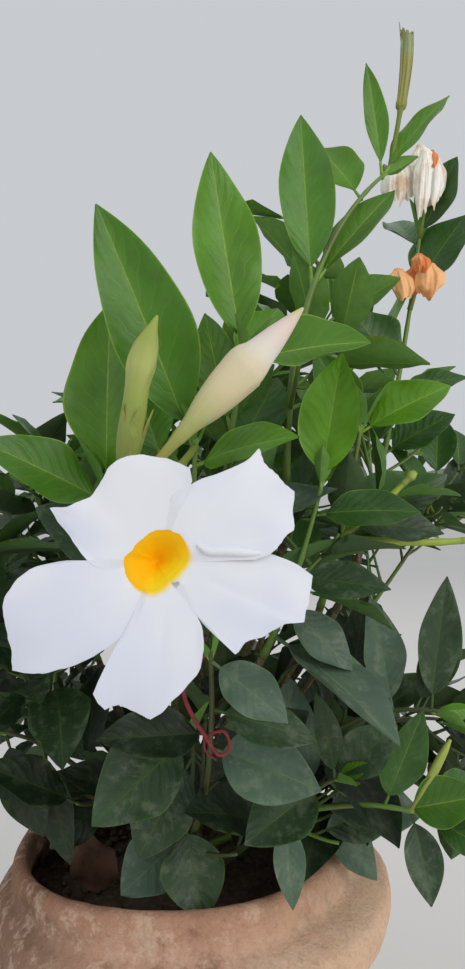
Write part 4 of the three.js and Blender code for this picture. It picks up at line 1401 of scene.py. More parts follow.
def pot_grid(sides, steps):
    """The pot's whole surface, with that many steps to each span of its profile."""
    wall = np.maximum(smooth_line(POT_OUTSIDE + POT_INSIDE, steps), 0)
    return turned(np.concatenate([[(2, 0)], wall, [(2, FLOOR_THICKNESS)]]), sides)


def hand_made(points, depth):
    """Moves the pot's wall in and out by a hand's unevenness."""
    radius = np.hypot(points[..., 0], points[..., 1])
    outward = points * np.array([1, 1, 0]) / np.maximum(radius, 1)[..., None]
    standing = smoothstep(points[..., 2], 1, 8) * smoothstep(radius, 20, 50)
    return points + outward * (layered(points, POT_DENTS) * standing * depth)[..., None]


def build_pot(settings):
    sheaf = Sheaf()
    add_tube(sheaf, hand_made(pot_grid(POT_SIDES, SPAN_STEPS), settings.dent_depth / MM))
    return sheaf.piece("pot_earthenware", clay_material(settings))


def build_soil(settings):
    """Compost with an uneven top, and crumbs and bits of bark on it."""
    bottom = FLOOR_THICKNESS + 0.3
    edge_height = SOIL_HEIGHT - SOIL_ROUNDING
    beside = [(radius - SOIL_GAP, height) for radius, height in reversed(POT_INSIDE)
              if bottom < height < SOIL_HEIGHT - 3]
    wall = np.array([(2, bottom), (FOOT_RADIUS - 12, bottom), *beside, (SOIL_EDGE, edge_height)])
    steps = np.linspace(0, 1, 34)[1:-1]
    top = np.stack([SOIL_EDGE * (1 - steps), edge_height + SOIL_ROUNDING * smoothstep(steps, 0, 0.6)], axis=1)
    points = turned(np.concatenate([wall, top]), SOIL_SIDES)
    open_top = points[..., 2] > edge_height - 0.5
    open_top &= np.hypot(points[..., 0], points[..., 1]) < SOIL_EDGE - 3
    points[..., 2] += np.where(open_top, layered(points, SOIL_BUMPS), 0)
    sheaf = Sheaf()
    add_tube(sheaf, points)
    random = random_from(CRUMB_SEED)
    for _ in range(settings.crumb_count):
        distance = 20 + 64 * math.sqrt(random())
        centre = bearing(360 * random(), 0) * distance + UP * (SOIL_HEIGHT + 0.4)
        add_crumb(sheaf, centre, settings.crumb_size / MM * (0.4 + random()), random)
    return sheaf.piece("compost", soil_material(settings))


def add_crumb(sheaf, centre, size, random):
    """A small angular lump."""
    turns = even_turns(6) + random() * TURN
    flat = 0.4 + 0.5 * random()
    rings = []
    for height, width in ((-0.5, 0.75), (0.1, 1.0), (0.55, 0.5)):
        radii = size / 2 * width * np.array([0.75 + 0.5 * random() for _ in turns])
        rings.append(centre + level_rings(radii, turns, height * size * flat))
    add_tube(sheaf, np.array(rings))


# Wood and stems
def trunk_radius(share):
    """Radius of the woody base, from its flare at the compost to its rounded crown."""
    flare = TRUNK_FLARE * (1 - smoothstep(share, 0, FLARE_SHARE))
    rounding = CROWN_ROUNDING * (np.maximum(0, share - CROWN_SHARE) / (1 - CROWN_SHARE)) ** 2
    return TRUNK_RADIUS + flare - rounding - TRUNK_TAPER * share


def build_trunk(settings):
    """The short woody base, ridged and cracked lengthwise."""
    foot, top = (2, 3, SOIL_HEIGHT - 4), (0, 0, TRUNK_TOP)
    axis = Bezier(foot, (1, 2, SOIL_HEIGHT + 8), (-1, -1, TRUNK_TOP - 12), top)
    shares = np.linspace(0, 1, 44)
    turns = even_turns(72)
    radii = trunk_radius(shares)[:, None]
    plain = rings_round(axis, shares, turns, radii)
    stretched = plain * np.array([1, 1, 0.3])
    relief = 0.55 * ripples(stretched, 6, 41) + 0.4 * np.abs(ripples(stretched, 3, 42)) - 0.3
    radii = radii + relief * settings.relief / MM * (0.4 + 0.6 * (1 - shares[:, None]))
    sheaf = Sheaf()
    add_tube(sheaf, rings_round(axis, shares, turns, radii))
    return sheaf.piece("trunk_bark", bark_material("trunk_bark", settings.bark, settings.ridge, 0.25))


def build_boughs(settings, masses):
    """Each bough with its bark's relief and the old leaf nodes."""
    sheaf = Sheaf()
    for mass in masses:
        if mass.bough:
            shares = np.linspace(0, 1, max(24, round(mass.bough.length / 2.5)))
            turns = even_turns(14)
            past_node = (shares * mass.bough.length) % NODE_SPACING - NODE_SPACING / 2
            swell = 1 + 0.17 * np.exp(-((past_node / 1.8) ** 2))
            radii = ((BOUGH_RADIUS + (SHOOT_RADIUS - BOUGH_RADIUS) * shares) * swell)[:, None]
            plain = rings_round(mass.bough, shares, turns, radii)
            relief = 0.24 * ripples(plain * np.array([1, 1, 0.35]), 2.4, 43) * settings.relief / MM
            add_tube(sheaf, rings_round(mass.bough, shares, turns, radii + relief))
    return sheaf.piece("bough_bark", bark_material("bough_bark", settings.bough, settings.ridge, 0.6))


def build_stems(settings, masses):
    """Shoots, twigs and runners. The low shoots are darker and browner than the young ones, partly as older
    stems and partly as painted shade.
    """
    sheaf = Sheaf()
    for mass in masses:
        # Low shoots take the darker stem material, partly painted shade
        old = 0 if mass.bough or "buds" in mass.shoot else 1
        foot = SHOOT_RADIUS if mass.bough else LOW_SHOOT_RADIUS
        add_tube(sheaf, stem_rings(mass.stem, foot, TIP_RADIUS, 10), old)
        for twig in mass.twigs:
            add_tube(sheaf, stem_rings(twig, TWIG_RADIUS, TIP_RADIUS, 8), old)
        for twig in mass.fine_twigs:
            add_tube(sheaf, stem_rings(twig, FINE_TWIG_RADIUS, FINE_TIP_RADIUS, 7), old)
        for curve in runner_curves(mass):
            rings = stem_rings(curve, RUNNER_RADIUS, RUNNER_END_RADIUS, 10, RUNNER_NODE_SPACING)
            add_tube(sheaf, rings, 2)
    return sheaf.piece(
        "green_stems",
        stem_material("young_stem", settings.stem, settings.stem_blush),
        stem_material("old_stem", settings.old_stem, settings.bough),
        stem_material("runner", settings.runner, settings.stem),
    )


def runner_curves(mass):
    """The long bare shoots that search for a hold, which rise a little towards their tips."""
    curves = []
    for share, azimuth, elevation, length in mass.shoot.get("runners", ()):
        foot = mass.stem.node(share)
        ahead = bearing(azimuth, elevation)
        curves.append(Bezier(foot, foot + ahead * length * 0.6, foot + ahead * length + UP * length * 0.1))
    return curves


# The bloom
def bloom_axes():
    """Directions to the right and up as the bloom is looked at, and the one that it faces."""
    facing = bearing(*BLOOM_BEARING)
    right = unit(np.cross(UP, facing))
    return right, np.cross(facing, right), facing


def bloom_points(distance, turn, depth):
    """Points given as they are seen from the bloom's front, by their distance and angle from its middle."""
    right, top, facing = bloom_axes()
    across = (distance * np.cos(turn))[..., None] * right
    upward = (distance * np.sin(turn))[..., None] * top
    return BLOOM_CENTRE + across + upward + depth[..., None] * facing


def travelled(line):
    """Length along a line of bearings and distances, in millimetres."""
    steps = np.hypot(np.diff(np.radians(line[:, 0])) * line[1:, 1], np.diff(line[:, 1]))
    return np.concatenate([[0], np.cumsum(steps)])


def petal_edge(runs, columns):
    """Bearing and distance at about even steps along a petal's edge, exact at its corners."""
    lines = [smooth_line(runs[0], 8)]
    for before, run in zip(runs, runs[1:]):
        lines.append(smooth_line([before[-1], *run], 8))
    total = sum(travelled(line)[-1] for line in lines)
    edge = []
    for line in lines:
        along = travelled(line)
        even = np.linspace(0, along[-1], max(2, round(columns * along[-1] / total)), endpoint=False)
        edge.append(np.stack([np.interp(even, along, values) for values in line.T], axis=1))
    return np.concatenate([*edge, [runs[-1][-1]]]).T


def golden_edge(turn):
    """Distance of the golden throat's edge from its middle."""
    return np.interp(np.degrees(turn), *zip(*THROAT_EDGE), period=360)


def throat_tones(radius, turn):
    """How far out a point lies as a share of the golden throat's reach, and how far round it lies towards the
    lit side, away from the painted shade on the throat's upper wall.
    """
    share = radius / golden_edge(turn)
    throat_lit_side = -np.cos(turn - math.radians(SHADED_THROAT_BEARING)) * smoothstep(share, 0, 0.8)
    return share.ravel(), np.stack([0 * share, share, throat_lit_side], axis=-1).reshape(-1, 3)


def petal_grid(index, runs):
    """Front surface of one petal, from deep in the throat out to its edge."""
    bearings, edge = petal_edge(runs, PETAL_COLUMNS)
    start, end = runs[0][1][0], runs[-1][-1][0]
    side = np.linspace(0, 1, len(edge))
    inner = start + 9 + (end - start - 11) * side
    reach = np.linspace(0, 1, PETAL_ROWS)[:, None]
    golden = golden_edge(np.radians(inner))
    throat_radius = THROAT_FLOOR + (golden - THROAT_FLOOR) * smoothstep(reach, -0.05, 0.3)
    out = smoothstep(reach, 0.2, 1) * 0.35 + np.clip((reach - 0.28) / 0.72, 0, 1) * 0.65
    along_edge = np.stack([side * 90, 0 * side, 0 * side + 30 * index], axis=-1)
    nick = layered(along_edge, ((0.5, 9, 71 + index), (0.3, 3.5, 81 + index)))
    radius = throat_radius + (edge - golden) * out + nick * reach**10
    turn = np.radians(inner + (bearings - inner) * smoothstep(reach, 0.25, 0.8))
    return radius, turn, petal_depth(index, radius, side, reach), side, reach


def petal_depth(index, radius, side, reach):
    """How far a petal's front stands before the bloom's centre: it arches over and droops at its edge."""
    beyond = np.clip((radius - THROAT_RADIUS) / PETAL_LENGTH, 0, 1.4)
    depth = -THROAT_DEPTH * (1 - smoothstep(reach, -0.12, 0.31)) ** 1.2
    depth = depth + PETAL_ARCH * np.sin(np.minimum(beyond * 1.9, np.pi)) - PETAL_DROOP * beyond**3
    overlap = (smoothstep(side, 0, 1) - 0.5) * PETAL_OVERLAP * smoothstep(beyond, 0.05, 0.8)
    sway = PETAL_SWAY * wave(side, 0.9, 0.37 * index) * beyond**1.4
    crease = -CREASE_DEPTH * np.exp(-(((side - 0.5) / 0.07) ** 2)) * smoothstep(beyond, 0.05, 0.3)
    frill = FRILL_DEPTH * wave(side, 3.4, 0.21 * index) * smoothstep(reach, 0.72, 1) ** 2
    return depth + overlap + sway + crease + frill


def add_rolled_lip(sheaf):
    """The thick rolled lip of the second petal, thinner towards both its ends."""
    bearings, distances, depths = smooth_line(ROLLED_LIP, 8).T
    middle = bloom_points(distances, np.radians(bearings), depths)
    along = np.linspace(0, 1, len(middle))
    radius = LIP_THICKNESS / 2 * np.sin(np.pi * (0.06 + 0.86 * along)) ** 0.6
    _, top, facing = bloom_axes()
    rings = middle[:, None] + spokes_round(even_turns(14), top, facing) * radius[:, None, None]
    add_tube(sheaf, rings, 0, np.full(rings.shape[:2], WHITE_TONE))


def add_throat(sheaf):
    """The golden bowl that closes the throat where the petals meet."""
    bowl = smooth_line(THROAT_BOWL, 4)
    turn = even_turns(THROAT_SIDES)
    radius = bowl[:, :1] * golden_edge(turn)
    faces = grid_faces(len(bowl), THROAT_SIDES, wrap=True)[:, ::-1]
    sheaf.add(bloom_points(radius, turn, bowl[:, 1:]), faces, 0, *throat_tones(radius, turn))


def build_bloom(settings):
    """Five petals that overlap one way round and run on into the golden throat."""
    sheaf = Sheaf()
    facing = bearing(*BLOOM_BEARING)
    for index, runs in enumerate(PETALS):
        radius, turn, depth, side, reach = petal_grid(index, runs)
        front = bloom_points(radius, turn, depth)
        thick = settings.petal_thickness / MM * (1 - np.abs(2 * side - 1) ** 12) * (1 - reach**16)
        add_shell(sheaf, front - facing * thick[..., None] / 2, facing, thick, 0, *throat_tones(radius, turn))
    add_rolled_lip(sheaf)
    add_throat(sheaf)
    return sheaf.piece("bloom_petals", petal_material(settings))


def raceme_stalks():
    """The stalk from the shoot to the hub, and the short stalks of the bloom and its two buds."""
    mass = next(mass for mass in grown_masses() if "raceme" in mass.shoot)
    hub = np.array(mass.shoot["raceme"], float)
    foot = mass.stem.node(0.95)
    tube_end = BLOOM_CENTRE - bearing(*BLOOM_BEARING) * (BLOOM_DEPTH - 2)
    stalks = [Bezier(foot, (foot + hub) / 2 - UP * 4, hub)]
    for end in (tube_end, np.array(SLIM_AXIS[0]), np.array(PALE_AXIS[0])):
        stalks.append(Bezier(hub, (hub + end) / 2 + np.array([0, 2, -1]), end))
    return stalks


def build_bloom_back(settings):
    """The bloom's funnel and narrow tube, its calyx and the stalks."""
    sheaf = Sheaf()
    for stalk in raceme_stalks():
        add_tube(sheaf, stem_rings(stalk, STALK_RADIUS, 1.5, 12, NODELESS), 1)
    facing = bearing(*BLOOM_BEARING)
    base = BLOOM_CENTRE - facing * BLOOM_DEPTH
    axis = Bezier(base, base + facing * BLOOM_DEPTH / 2, BLOOM_CENTRE - facing * 1.2)
    shares = np.linspace(0, 1, 30)
    turns = even_turns(40)
    funnel = 2.1 + 2.2 * smoothstep(shares, 0.05, 0.5) + 6.4 * smoothstep(shares, 0.45, 1.02)
    ribs = 1 + 0.03 * np.cos(5 * turns)
    add_tube(sheaf, rings_round(axis, shares, turns, funnel[:, None] * ribs), 0, open_end=True)
    add_calyx(sheaf, base - facing * 1.2, facing, 9, 3.2, 0.8, 0.3)
    tube = bud_material(
        "bloom_tube", settings.petal_shade,
        (0.0, settings.bud_green[:]), (0.4, shade(settings.petal, 0.9)), (1.0, settings.petal[:]),
    )
    stalk_green = stem_material("flower_stalk", settings.stalk, settings.stalk)
    return sheaf.piece("bloom_tube_and_stalks", tube, stalk_green)


def add_calyx(sheaf, base, ahead, length, width, radius, opening):
    """Narrow pointed sepals that stand round the foot of a bud or bloom, in its second material."""
    across = square_to(np.array([1.0, 0, 0]), ahead)
    for outward in spokes_round(even_turns(SEPALS), across, np.cross(ahead, across)):
        along = unit(ahead + outward * opening)
        face = square_to(-outward, along)
        sepal = Leaf(base + outward * radius, along, face, length, width / 2, 0.3, 0.06, "fine")
        add_ribless(sheaf, sepal, 0.5, 4, 1)


# Buds and withered parts
def bud_curve(foot, ahead, length):
    """A young bud's axis, which rises a little towards its tip."""
    return Bezier(foot, foot + ahead * length * 0.5, foot + ahead * length + UP * length * 0.04)


def radius_along(shape, shares):
    """Radius along a bud from its list of shares and radii, with the corners a little eased."""
    line = smooth_line(shape, 5)
    return np.interp(shares, line[:, 0], line[:, 1])


def add_bud(sheaf, axis, shape, petals, twist, seam, sides=40, rim=None):
    """A furled bud: its petals wrap over each other one way round, which leaves spiral seams.

    Where a rim is given, an outer petal ends there with a step and the bud's tip stands out of it.
    """
    shares = np.linspace(0, 1, BUD_ROWS)
    turns = even_turns(sides)
    body = radius_along(shape, shares)[:, None]
    wrap = (petals * turns[None, :] / TURN - twist * shares[:, None]) % 1
    ridge = wrap - 0.5 - smoothstep(wrap, 0.86, 1)
    furled = smoothstep(shares, 0.3, 0.6)[:, None]
    radii = body * (1 + seam * ridge * furled)
    tones = np.repeat(shares[:, None], sides, axis=1)
    if rim:
        edge = rim + 0.05 * np.sin(turns - 2.4) + 0.02 * np.sin(2 * turns)
        past = smoothstep(shares[:, None] - edge, 0, 0.012)
        radii = radii - 0.4 * past * (1 - smoothstep(shares, rim, 0.97)[:, None])
        tones = tones + 0.05 * past
    add_tube(sheaf, rings_round(axis, shares, turns, radii), 0, tones)


def build_front_buds(settings):
    """The two buds above the bloom: a slim green one, and a pale one that is about to open."""
    slim, pale = Sheaf(), Sheaf()
    slim_axis = Bezier(*SLIM_AXIS)
    add_bud(slim, slim_axis, SLIM_SHAPE, 3, 1.3, 0.12)
    add_calyx(slim, slim_axis.point(0), slim_axis.tangent(0), 18, 3.8, 3.5, 0.03)
    add_bud(pale, Bezier(*PALE_AXIS), PALE_SHAPE, 2, 0.7, 0.07, 60, PALE_RIM)
    green, cream, foot, petal = settings.bud_green, settings.bud_cream, settings.bud_foot, settings.petal
    slim_green = bud_material(
        "slim_bud", shade(green, 0.78),
        (0.0, shade(green, 0.6)), (0.25, shade(green, 0.7)), (0.45, shade(green, 0.84)),
        (0.66, blended(green, cream, 0.2)), (0.85, shade(green, 0.86)), (1.0, shade(green, 0.9)),
    )
    sepal = dry_material("sepal", shade(green, 0.72), shade(foot, 0.8), 260)
    pale_cream = bud_material(
        "pale_bud", blended(cream, petal, 0.3),
        (0.0, foot[:]), (0.1, blended(foot, green, 0.7)), (0.24, blended(green, cream, 0.25)),
        (0.46, cream[:]), (0.66, blended(cream, petal, 0.12)), (0.76, blended(cream, petal, 0.5)),
        (0.92, settings.bud_blush[:]), (1.0, blended(cream, green, 0.2)),
    )
    return [slim.piece("bud_slim", slim_green, sepal), pale.piece("bud_pale", pale_cream)]


def build_small_buds(settings, masses):
    """The young buds at the low shoot's tip, and the swollen tips of the runners."""
    sheaf = Sheaf()
    for mass in masses:
        for share, azimuth, elevation, length, radius in mass.shoot.get("buds", ()):
            axis = bud_curve(mass.stem.node(share), bearing(azimuth, elevation), length)
            add_bud(sheaf, axis, young_shape(radius), 5, 1.2, 0.12, 20)
        for curve in runner_curves(mass):
            end = Bezier(curve.point(0.8), curve.point(0.9), curve.point(1))
            add_bud(sheaf, end, young_shape(RUNNER_TIP_RADIUS), 2, 1, 0.12, 20)
    green = settings.bud_green[:]
    return sheaf.piece("buds_young", bud_material(
        "young_bud", shade(green, 0.8), (0.0, shade(green, 0.75)), (0.5, green), (1.0, shade(green, 1.1)),
    ))


def young_shape(radius):
    """The shape of a young bud of this radius."""
    return [(place, size * radius) for place, size in YOUNG_SHAPE]


def build_spent_bud(settings):
    """The old bud at the plant's top: a dry ribbed tube with a torn end and one thin horn."""
    sheaf = Sheaf()
    axis = Bezier(*SPENT_AXIS)
    shares = np.linspace(0, 1, 70)
    turns = even_turns(48)
    dry = smoothstep(shares, 0.44, 0.5)[:, None]
    ribs = 0.1 * np.sin(5 * turns + 3 * shares[:, None]) + 0.05 * np.sin(13 * turns - 4 * shares[:, None])
    rings = rings_round(axis, shares, turns, radius_along(SPENT_SHAPE, shares)[:, None] * (1 + dry * ribs))
    torn = 1.5 * np.abs(np.sin(4.5 * turns)) + 1.2 * np.sin(2 * turns + 1) - 1
    rings = rings + UP * (torn * smoothstep(shares, 0.93, 1)[:, None])[..., None]
    inner = axis.point(0.97) + (rings[-1] - rings[-1].mean(0)) * 0.8 - UP * 2
    add_tube(sheaf, np.concatenate([rings, [inner]]), 0)
    horn_radii = np.linspace(0.55, 0.2, 12)
    horn_shares = np.linspace(0, 1, len(horn_radii))
    add_tube(sheaf, rings_round(Bezier(*SPENT_HORN), horn_shares, even_turns(8), horn_radii), 1)
    stalk, spent, tip = settings.stalk[:], settings.spent[:], settings.spent_tip[:]
    papery = bud_material(
        "spent_bud", settings.spent_edge,
        (0.0, stalk), (0.42, stalk), (0.5, spent), (0.78, spent), (0.86, tip), (1.0, shade(tip, 0.85)),
        streaky=0.85,
    )
    return sheaf.piece("bud_spent", papery, dry_material("spent_horn", tip, settings.spent_edge))


def add_limp_petal(sheaf, middle, width, length, slot, seed):
    """One limp petal of a withered flower: a pleated sheet that hangs from its narrow top."""
    drop = np.linspace(0, 1, 28)[:, None]
    across = np.linspace(-1, 1, 41)
    half = width / 2 * (0.35 + 0.65 * smoothstep(drop, 0, 0.4)) * (1 - 0.35 * smoothstep(drop, 0.7, 1))
    uneven = 0.07 * wave(across, 0.7, 0.31 * seed) + 0.03 * wave(across, 1.9, 0.17 * seed)
    fall = length * drop * (1 - 0.2 * across**2 + uneven)
    pleats = 0.05 * width * wave(across, 1.15, 0.23 * seed, 2.4 * drop) * smoothstep(drop, 0, 0.4)
    pleats = pleats + 0.012 * width * wave(across, 3.1, 0.37 * seed, -3 * drop)
    flared = 0.1 * width * smoothstep(drop, 0.7, 1) * np.cos(TURN * (0.6 * across + 0.41 * seed))
    out = 0.5 * half * (1 - across**2) + pleats + flared
    sway = 0.1 * width * np.sin(2.6 * drop + seed)
    sheet = np.array(middle, float) + np.stack([half * across + sway, -out, length / 2 - fall], axis=-1)
    thick = 0.8 * (1 - across**8) * (1 - drop**10)
    add_shell(sheaf, sheet, np.array([0, -1.0, 0]), thick, slot)


def build_withered(settings, masses):
    """Withered flowers: limp crumpled petals that hang from the top of a short stalk."""
    mass = next(mass for mass in masses if mass.shoot["name"] == "far_right")
    colours = {
        "cream": (settings.wilted_cream, settings.wilted_edge),
        "orange": (settings.wilted_orange, settings.wilted_fold),
    }
    pieces = []
    for seed, (name, flower) in enumerate(WITHERED.items()):
        sheaf = Sheaf()
        crown = np.array(flower["crown"], float)
        foot = mass.stem.node(flower["node"])
        stalk = Bezier(foot, (foot + crown) / 2 + np.array([6, -2, 16]), crown)
        add_tube(sheaf, stem_rings(stalk, 1.2, STALK_RADIUS, 9, NODELESS), 1)
        for k, (*middle, width, length, slot) in enumerate(flower["petals"]):
            add_limp_petal(sheaf, middle, width, length, slot, 5 * seed + k)
        colour, edge = colours[name]
        pieces.append(sheaf.piece(
            f"wilted_flower_{name}",
            dry_material(f"wilted_{name}", colour, edge, 60),
            stem_material(f"wilted_{name}_stalk", settings.stalk, settings.stalk),
            dry_material(f"wilted_{name}_fold", settings.wilted_fold, settings.wilted_orange, 60),
        ))
    return pieces


def build_old_leaf(settings):
    """The withered leaf that leans against the inside of the pot's mouth."""
    sheaf = Sheaf()
    along = bearing(*FALLEN_LEAF["ahead"])
    foot = np.array(FALLEN_LEAF["foot"], float)
    length, half_width = FALLEN_LEAF["length"], FALLEN_LEAF["width"] / 2
    face = square_to(LIGHT, along)
    leaf = Leaf(foot, along, face, length, half_width, 0.35, 0.2, "shown", wave=0.3, phase=1)
    add_ribless(sheaf, leaf, 0.7, 6)
    brown = settings.dead_leaf
    return sheaf.piece("withered_leaf", dry_material("withered_leaf", brown, shade(brown, 0.5), 90))


def build_tendril(settings):
    """The thin dry tendril that hangs below the bloom and ends in a curl."""
    line = smooth_line(TENDRIL, 8)
    ahead = np.gradient(line, axis=0)
    ahead /= np.linalg.norm(ahead, axis=1)[:, None]
    turns = even_turns(8)[:, None]
    across = np.cross(ahead, np.array([0, 1.0, 0]))
    across /= np.linalg.norm(across, axis=1)[:, None]
    beside = np.cross(ahead, across)
    round_it = across[:, None] * np.cos(turns) + beside[:, None] * np.sin(turns)
    thin = np.linspace(0.95, 0.4, len(line))[:, None, None]
    sheaf = Sheaf()
    add_tube(sheaf, line[:, None] + round_it * thin)
    red = settings.tendril
    return sheaf.piece("dry_tendril", dry_material("dry_tendril", red, shade(red, 0.6), 300))


# How much of the ribs' own colour shows, gloss and dust of each tint
# Sunny is painted sunlight; dark, deep and blue are old leaves in painted shade, blue with a painted bluish
# sheen of the sky
TINTS = {
    "sunny": (0.3, 1, 0), "fresh": (0.4, 1, 0), "bright": (0.34, 1, 0.04), "mid": (0.2, 0.9, 0.1),
    "deep": (0.09, 0.8, 0.26), "dark": (0.06, 0.6, 0.12), "blue": (0.1, 0.7, 0.36),
}


def build_leaves(settings, masses):
    """All leaves, joined by tint, each piece with the nodes of its masses."""
    pieces = []
    for tint, (rib_share, gloss, dusty) in TINTS.items():
        colour = getattr(settings, tint)
        sheaf = Sheaf()
        nodes = set()
        for mass in masses:
            for leaf in mass.leaves:
                if leaf.tint == tint:
                    add_leaf(sheaf, leaf, settings.leaf_thickness)
                    nodes.add(mass.node)
        rib = blended(colour, settings.rib, rib_share)
        underside = blended(colour, settings.underside, 0.3)
        made = sheaf.piece(
            f"leaves_{tint}",
            blade_material(f"leaf_{tint}", colour, rib, settings.dust, gloss, dusty),
            grained_material(f"leaf_{tint}_underside", underside, 0.66, (260, 4, 0.6), 0.15, 0.25),
            grained_material(f"leaf_{tint}_rib", rib, 0.55, (500, 2, 0.5), 0.1, 0.3),
        )
        pieces.append((made, sorted(nodes)))
    return pieces


# What a user may change
def colour_prop(name, description, colour):
    return FloatVectorProperty(
        name=name, description=description, subtype="COLOR", size=3, min=0, max=1, default=colour,
    )


def length_prop(name, description, default, top):
    return FloatProperty(
        name=name, description=description, default=default, min=0, max=top,
        subtype="DISTANCE", unit="LENGTH",
    )


def power_prop(name, description, default):
    return FloatProperty(name=name, description=description, min=0, default=default)


class PotSettings(bpy.types.PropertyGroup):
    """Sizes and colours of the pot and the compost."""

    dent_depth: length_prop("Dent depth", "How far the hand-made wall swings in and out", 0.0011, 0.003)
    crumb_size: length_prop("Crumb size", "Size of the larger crumbs on the compost", 0.004, 0.008)
    crumb_count: IntProperty(name="Crumbs", description="Number of crumbs on the compost", min=0, default=420)
    clay: colour_prop("Clay", "Fired clay on the sunny side", screen(204, 162, 138))
    weathering: colour_prop("Weathering", "Pale bloom on the clay", screen(224, 196, 172))
    # Painted sunlight on the pot's right side
    painted_sunlight: colour_prop("Painted sunlit clay", "Clay painted paler as sunlight on one side", screen(250, 212, 178))
    rim: colour_prop("Lip", "Redder clay towards the lip", screen(178, 122, 92))
    # Brown stains, and the painted shade on the pot's left side
    stains_and_shade: colour_prop("Stains and shade", "Brown stains, and painted shade on the browner side", screen(118, 90, 68))
    compost: colour_prop("Compost", "Damp compost", screen(92, 74, 56))


class WoodSettings(bpy.types.PropertyGroup):
    """Relief and colours of bark and stems."""

    relief: length_prop("Bark relief", "Depth of the bark's ridges", 0.001, 0.003)
    bark: colour_prop("Bark", "Bark of the woody base", screen(112, 94, 74))
    ridge: colour_prop("Ridges", "Dry tops of the bark's ridges", screen(152, 136, 112))
    bough: colour_prop("Boughs", "Bark of the boughs", screen(96, 88, 58))
    stem: colour_prop("Green stems", "Shoots and twigs", screen(104, 134, 56))
    stem_blush: colour_prop("Stem blush", "Browner cast of the shoots", screen(104, 104, 58))
    runner: colour_prop("Runners", "Bare shoots that search for a hold", screen(164, 184, 66))
    old_stem: colour_prop("Old stems", "Low shoots in the shade", screen(72, 82, 46))


class FoliageSettings(bpy.types.PropertyGroup):
    """Leaf thickness and the tints that are dealt out by spray, some of them painted sunlight or painted
    shade.
    """

    leaf_thickness: length_prop("Leaf thickness", "Thickness of a blade at its middle", 0.0007, 0.0012)
    # Painted sunlight: leaves painted yellower and paler where the sun falls on them
    sunny: colour_prop("Sunny", "Yellower leaves that stand in the sun", screen(102, 158, 28))
    fresh: colour_prop("Fresh", "Young leaves at the top", screen(82, 132, 20))
    bright: colour_prop("Bright", "Leaves of this year's shoots", screen(72, 122, 24))
    # Painted shade: old leaves painted darker, the bluish ones with a painted sheen of the sky
    mid: colour_prop("Middle", "Grown leaves", screen(52, 94, 30))
    deep: colour_prop("Deep", "Old leaves low down", screen(46, 70, 40))
    dark: colour_prop("Dark", "Oldest leaves in the shade", screen(27, 45, 22))
    blue: colour_prop("Bluish", "Shaded old leaves", screen(80, 104, 84))
    rib: colour_prop("Ribs", "Midribs and margins of young leaves", screen(172, 200, 96))
    underside: colour_prop("Undersides", "Paler lower faces", screen(128, 156, 104))
    dust: colour_prop("Dust", "Dusty bloom on old leaves", screen(142, 150, 128))


class FlowerSettings(bpy.types.PropertyGroup):
    """Petal thickness and the colours of bloom, buds and withered flowers."""

    petal_thickness: length_prop("Petal thickness", "Thickness of a petal", 0.0006, 0.0012)
    petal: colour_prop("Petals", "White of the open bloom", screen(232, 234, 240))
    petal_shade: colour_prop("Petal shade", "Cool cast of the petals", screen(222, 226, 240))
    throat: colour_prop("Throat", "Gold inside the throat", screen(255, 190, 0))
    throat_edge: colour_prop("Throat edge", "Yellow of the throat's lower side", screen(252, 214, 20))
    bud_green: colour_prop("Bud green", "Green of the buds", screen(164, 178, 88))
    bud_cream: colour_prop("Bud cream", "Cream of the larger bud", screen(220, 206, 166))
    bud_blush: colour_prop("Bud blush", "Pink cast near the larger bud's tip", screen(230, 208, 200))
    bud_foot: colour_prop("Bud foot", "Brown foot of the larger bud", screen(160, 130, 62))
    spent: colour_prop("Spent bud", "Dry tube of the old bud", screen(156, 156, 88))
    spent_tip: colour_prop("Spent tip", "Greyish end of the old bud", screen(152, 166, 116))
    spent_edge: colour_prop("Spent edge", "Brown and papery streaks of the old bud", screen(92, 72, 48))
    stalk: colour_prop("Stalks", "Flower stalks", screen(128, 146, 64))
    wilted_cream: colour_prop("Withered cream", "Withered white flower", screen(255, 248, 238))
    wilted_edge: colour_prop("Withered folds", "Pinkish folds of the white flower", screen(228, 196, 170))
    wilted_orange: colour_prop("Withered orange", "Flower that has turned orange", screen(252, 190, 132))
    wilted_fold: colour_prop("Orange folds", "Darker folds of the orange flower", screen(228, 134, 76))
    dead_leaf: colour_prop("Dead leaf", "Withered leaf in the pot", screen(96, 66, 48))
    tendril: colour_prop("Tendril", "Dry red tendril", screen(130, 44, 50))


class StageSettings(bpy.types.PropertyGroup):
    """Light and backdrop."""

    backdrop: colour_prop("Backdrop", "Plain pale floor", screen(226, 223, 219))
    key_power: power_prop("Key light", "Power of the large soft light in watts", 15)
    fill_power: power_prop("Fill light", "Power of the weaker lights in watts", 4)
    sky_strength: power_prop("Sky", "Strength of the even light", 0.62)


def settle(piece, slot, *nodes):
    """Fixes a piece to the frame's body and hides the CAD nodes that it stands for. Its slot is not used."""
    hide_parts(*nodes)
    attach(piece, BODY)


# Operators
class MANDEVILLA_OT_pot(bpy.types.Operator):
    """Build the earthenware pot and the compost in it"""

    bl_idname = "mandevilla.pot"
    bl_label = "Pot and compost"

    def execute(self, context):
        settings = context.scene.mandevilla_pot
        settle(build_pot(settings), "earthenware", "pot")
        settle(build_soil(settings), "soil", "soil")
        return {"FINISHED"}


class MANDEVILLA_OT_wood(bpy.types.Operator):
    """Build the woody base, the boughs and the green stems"""

    bl_idname = "mandevilla.wood"
    bl_label = "Wood and stems"

    def execute(self, context):
        settings = context.scene.mandevilla_wood
        masses = grown_masses()
        settle(build_trunk(settings), "bark", "trunk")
        boughs = [f"bough_{mass.shoot['name']}" for mass in masses if mass.bough]
        settle(build_boughs(settings, masses), "bark", *boughs)
        settle(build_stems(settings, masses), "foliage", *[mass.node for mass in masses])
        return {"FINISHED"}


